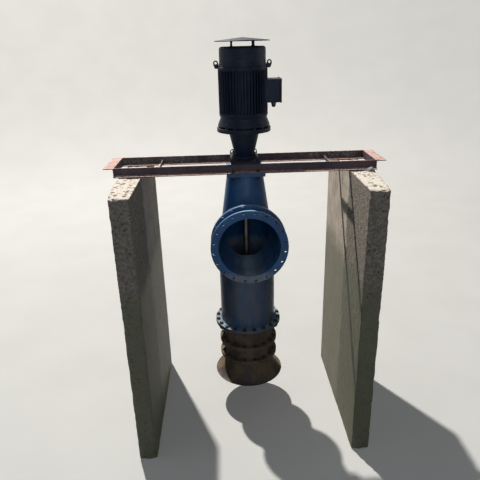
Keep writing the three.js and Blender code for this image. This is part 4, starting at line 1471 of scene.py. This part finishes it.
def bell_arc(offset, first, last, steps=22):
    """A quarter of an ellipse from the casing out to the bell's lip, moved out by an offset."""
    arc = []
    for step in range(steps + 1):
        angle = (first + (last - first) * step / steps) * math.pi / 2
        radius = bell_mouth - (bell_mouth - casing_bore) * math.cos(angle) + offset
        arc.append((radius, casing_low - bell_depth * math.sin(angle)))
    return arc


bell_inside = bell_arc(0, 1, 0)
bell_outside = bell_arc(14, 0.12, 1)
bell_flange = softened([
    (casing_bore, casing_low, 0), (casing_flange, casing_low, 2), (casing_flange, casing_low - 20, 3),
    (bell_outside[0][0], casing_low - 22, 8), (*bell_outside[1], 0),
])
bell_lip = [(bell_mouth + 14, bell_low + 6), (bell_mouth + 12, bell_low + 1.5), (bell_mouth + 7, bell_low),
            (bell_mouth + 2, bell_low + 2)]
bell_profile = bell_inside[1:-1] + bell_flange + bell_outside[2:-1] + bell_lip
piece("suction_bell_casting", turned(bell_profile, 128), *iron, ["suction_bell"], crease=38)

large_joint = flange_joint(24, bolt_count, bolt_ring, 20, -20, half_pitch)
small_joint = flange_joint(20, 16, 304, 22, -20, math.pi / 16)
joint_levels = [(large_joint, column_high), (large_joint, column_low),
                (small_joint, diffuser_low), (small_joint, casing_low)]
column_joints = joined([shifted(bolts, 0, 0, level) for bolts, level in joint_levels])
piece("column_joint_bolts", column_joints, *black_steel, crease=28)
print("column and casings down to", round(bell_low), "mm")

# %% [markdown]
# Propeller blades and diffuser vanes are wings bent round the shaft. A section is drawn flat, with a
# round nose, its thickest part a third of the way along and a thin tail. It is then tilted to its pitch
# and wrapped on a cylinder. Sections at several radii are skinned into one blade.

# %% Blades and vanes
def wing_section(radius, chord, thickness, camber, pitch, level, bearing, count=11):
    """A wing section wrapped on a cylinder of a radius, as points."""
    def half_thickness(t):
        return thickness * (1.48 * math.sqrt(t) - 0.63 * t - 1.76 * t * t + 1.42 * t ** 3 - 0.5 * t ** 4)

    spots = [0.5 - 0.5 * math.cos(math.pi * i / count) for i in range(count + 1)]
    upper = [(t, half_thickness(t)) for t in spots]
    lower = [(t, -half_thickness(t)) for t in reversed(spots[1:-1])]
    points = []
    for t, across in upper + lower:
        along = (t - 0.5) * chord
        lift = across + camber * chord * 4 * t * (1 - t)
        around = along * math.cos(pitch) - lift * math.sin(pitch)
        up = along * math.sin(pitch) + lift * math.cos(pitch)
        angle = bearing + around / radius
        points.append((radius * math.cos(angle), radius * math.sin(angle), level + up))
    return points


def skinned(sections):
    """Sections with equal numbers of points, skinned into one closed shape."""
    count = len(sections[0])
    points = [point for section in sections for point in section]
    last = (len(sections) - 1) * count
    ends = [tuple(range(count)), tuple(range(last, last + count))]
    return points, ring_faces(len(sections), count) + ends


def wings_round(count, stations, section_at):
    """Equal wings round the shaft. A function gives the section at a share of a wing's length."""
    wings = []
    for wing in range(count):
        bearing = 2 * math.pi * wing / count
        shares = [step / (stations - 1) for step in range(stations)]
        wings.append(skinned([section_at(share, bearing) for share in shares]))
    return wings


vane_level = (diffuser_low + diffuser_high) / 2
hub_radius = 105
vane_hub = lathed([
    (shaft_radius + 0.3, diffuser_low + 4, 1),
    (hub_radius - 20, diffuser_low + 4, 6),
    (hub_radius, diffuser_low + 30, 14),
    (hub_radius, vane_level, 20),
    (shaft_radius + 22, diffuser_high + 60, 10),
    (shaft_radius + 0.3, diffuser_high + 60, 1),
], 96, steps=5)


def vane_section(share, bearing):
    """An upright vane's section, the same from the hub to the casing."""
    radius = hub_radius - 12 + (casing_bore + 8 - hub_radius) * share
    return wing_section(radius, 176, 15, 0.03, math.radians(80), vane_level, bearing)


vanes = wings_round(6, 7, vane_section)
piece("diffuser_vane_casting", joined([vane_hub, *vanes]), *iron, ["diffuser_vanes"], crease=40)

hub_half, propeller_hub, blade_tip, nose_radius = 70, 78, 251, 70
propeller_level = extent("propeller_nose")[2][1] + hub_half
hub = lathed([
    (shaft_radius + 0.3, propeller_level - hub_half, 1),
    (nose_radius, propeller_level - hub_half, 3),
    (propeller_hub, propeller_level - hub_half + 26, 12),
    (propeller_hub, propeller_level + hub_half - 16, 12),
    (propeller_hub - 12, propeller_level + hub_half, 5),
    (shaft_radius + 0.3, propeller_level + hub_half, 1),
], 96, steps=5)


def blade_section(share, bearing):
    """A blade's section: longer, thinner and flatter towards the tip, whose corner is rounded off."""
    radius = propeller_hub - 15 + share * (blade_tip - propeller_hub + 15)
    chord = (120 + 130 * share) * (1.0 if share < 0.8 else 1 - 0.9 * (share - 0.8) ** 1.5)
    pitch = math.radians(48 - 26 * share)
    return wing_section(radius, chord, 17 - 10 * share, 0.03, pitch, propeller_level, bearing, 13)


blades = wings_round(4, 12, blade_section)
piece("propeller_casting", joined([hub, *blades]), bronze, "bronze", ["propeller"], crease=50)
nose_low, nose_high = extent("propeller_nose")[2]
nose_height = nose_high - nose_low
nose_arc = [(nose_radius * math.sin(a), nose_high - nose_height * math.cos(a)) for a in
            (math.pi / 2 * step / 12 for step in range(13))]
nose = turned([*nose_arc, (0, nose_high)], 72)
piece("propeller_nose_cone", nose, bronze, "bronze", ["propeller_nose"], crease=50)
print("propeller", 2 * blade_tip, "mm across with", len(blades), "blades")

# %% [markdown]
# A pad of mortar was trowelled under the front beam's right end, where the pier's top had broken away,
# and some of it hangs over the pier's outer edge. It is a low dome pushed out of shape by noise.

# %% Mortar at the beam's seat
pier_x, _, pier_z = extent("right_pier")
pad_points = []
pad_middle = (pier_x[1] - 10, extent("front_beam")[1][0] - 14)
pad_rings, pad_sides = 10, 48
for ring_step in range(pad_rings + 1):
    share = ring_step / pad_rings
    for step in range(pad_sides):
        angle = 2 * math.pi * step / pad_sides
        reach = Vector((66 * math.cos(angle), 50 * math.sin(angle), 0)) * share
        rough = 1 + 0.25 * noise.noise(Vector((math.cos(angle) * 1.7, math.sin(angle) * 1.7, 4)))
        lump = noise.noise(Vector((reach.x / 19, reach.y / 19, 9)))
        height = 38 * (1 - share ** 3) + 11 * lump * (1 - share ** 2)
        across = pad_middle[0] + reach.x * rough
        height -= 1.5 * max(0, across - pier_x[1] + 8)
        pad_points.append((across, pad_middle[1] + reach.y * rough, pier_z[1] - 8 + height))
pad_faces = ring_faces(pad_rings + 1, pad_sides)
pad_faces.append(tuple(range(pad_rings * pad_sides, (pad_rings + 1) * pad_sides)))
piece("beam_seat_mortar", (pad_points, pad_faces), mortar, "concrete", crease=70)
print("mortar pad at", [round(v) for v in pad_middle])
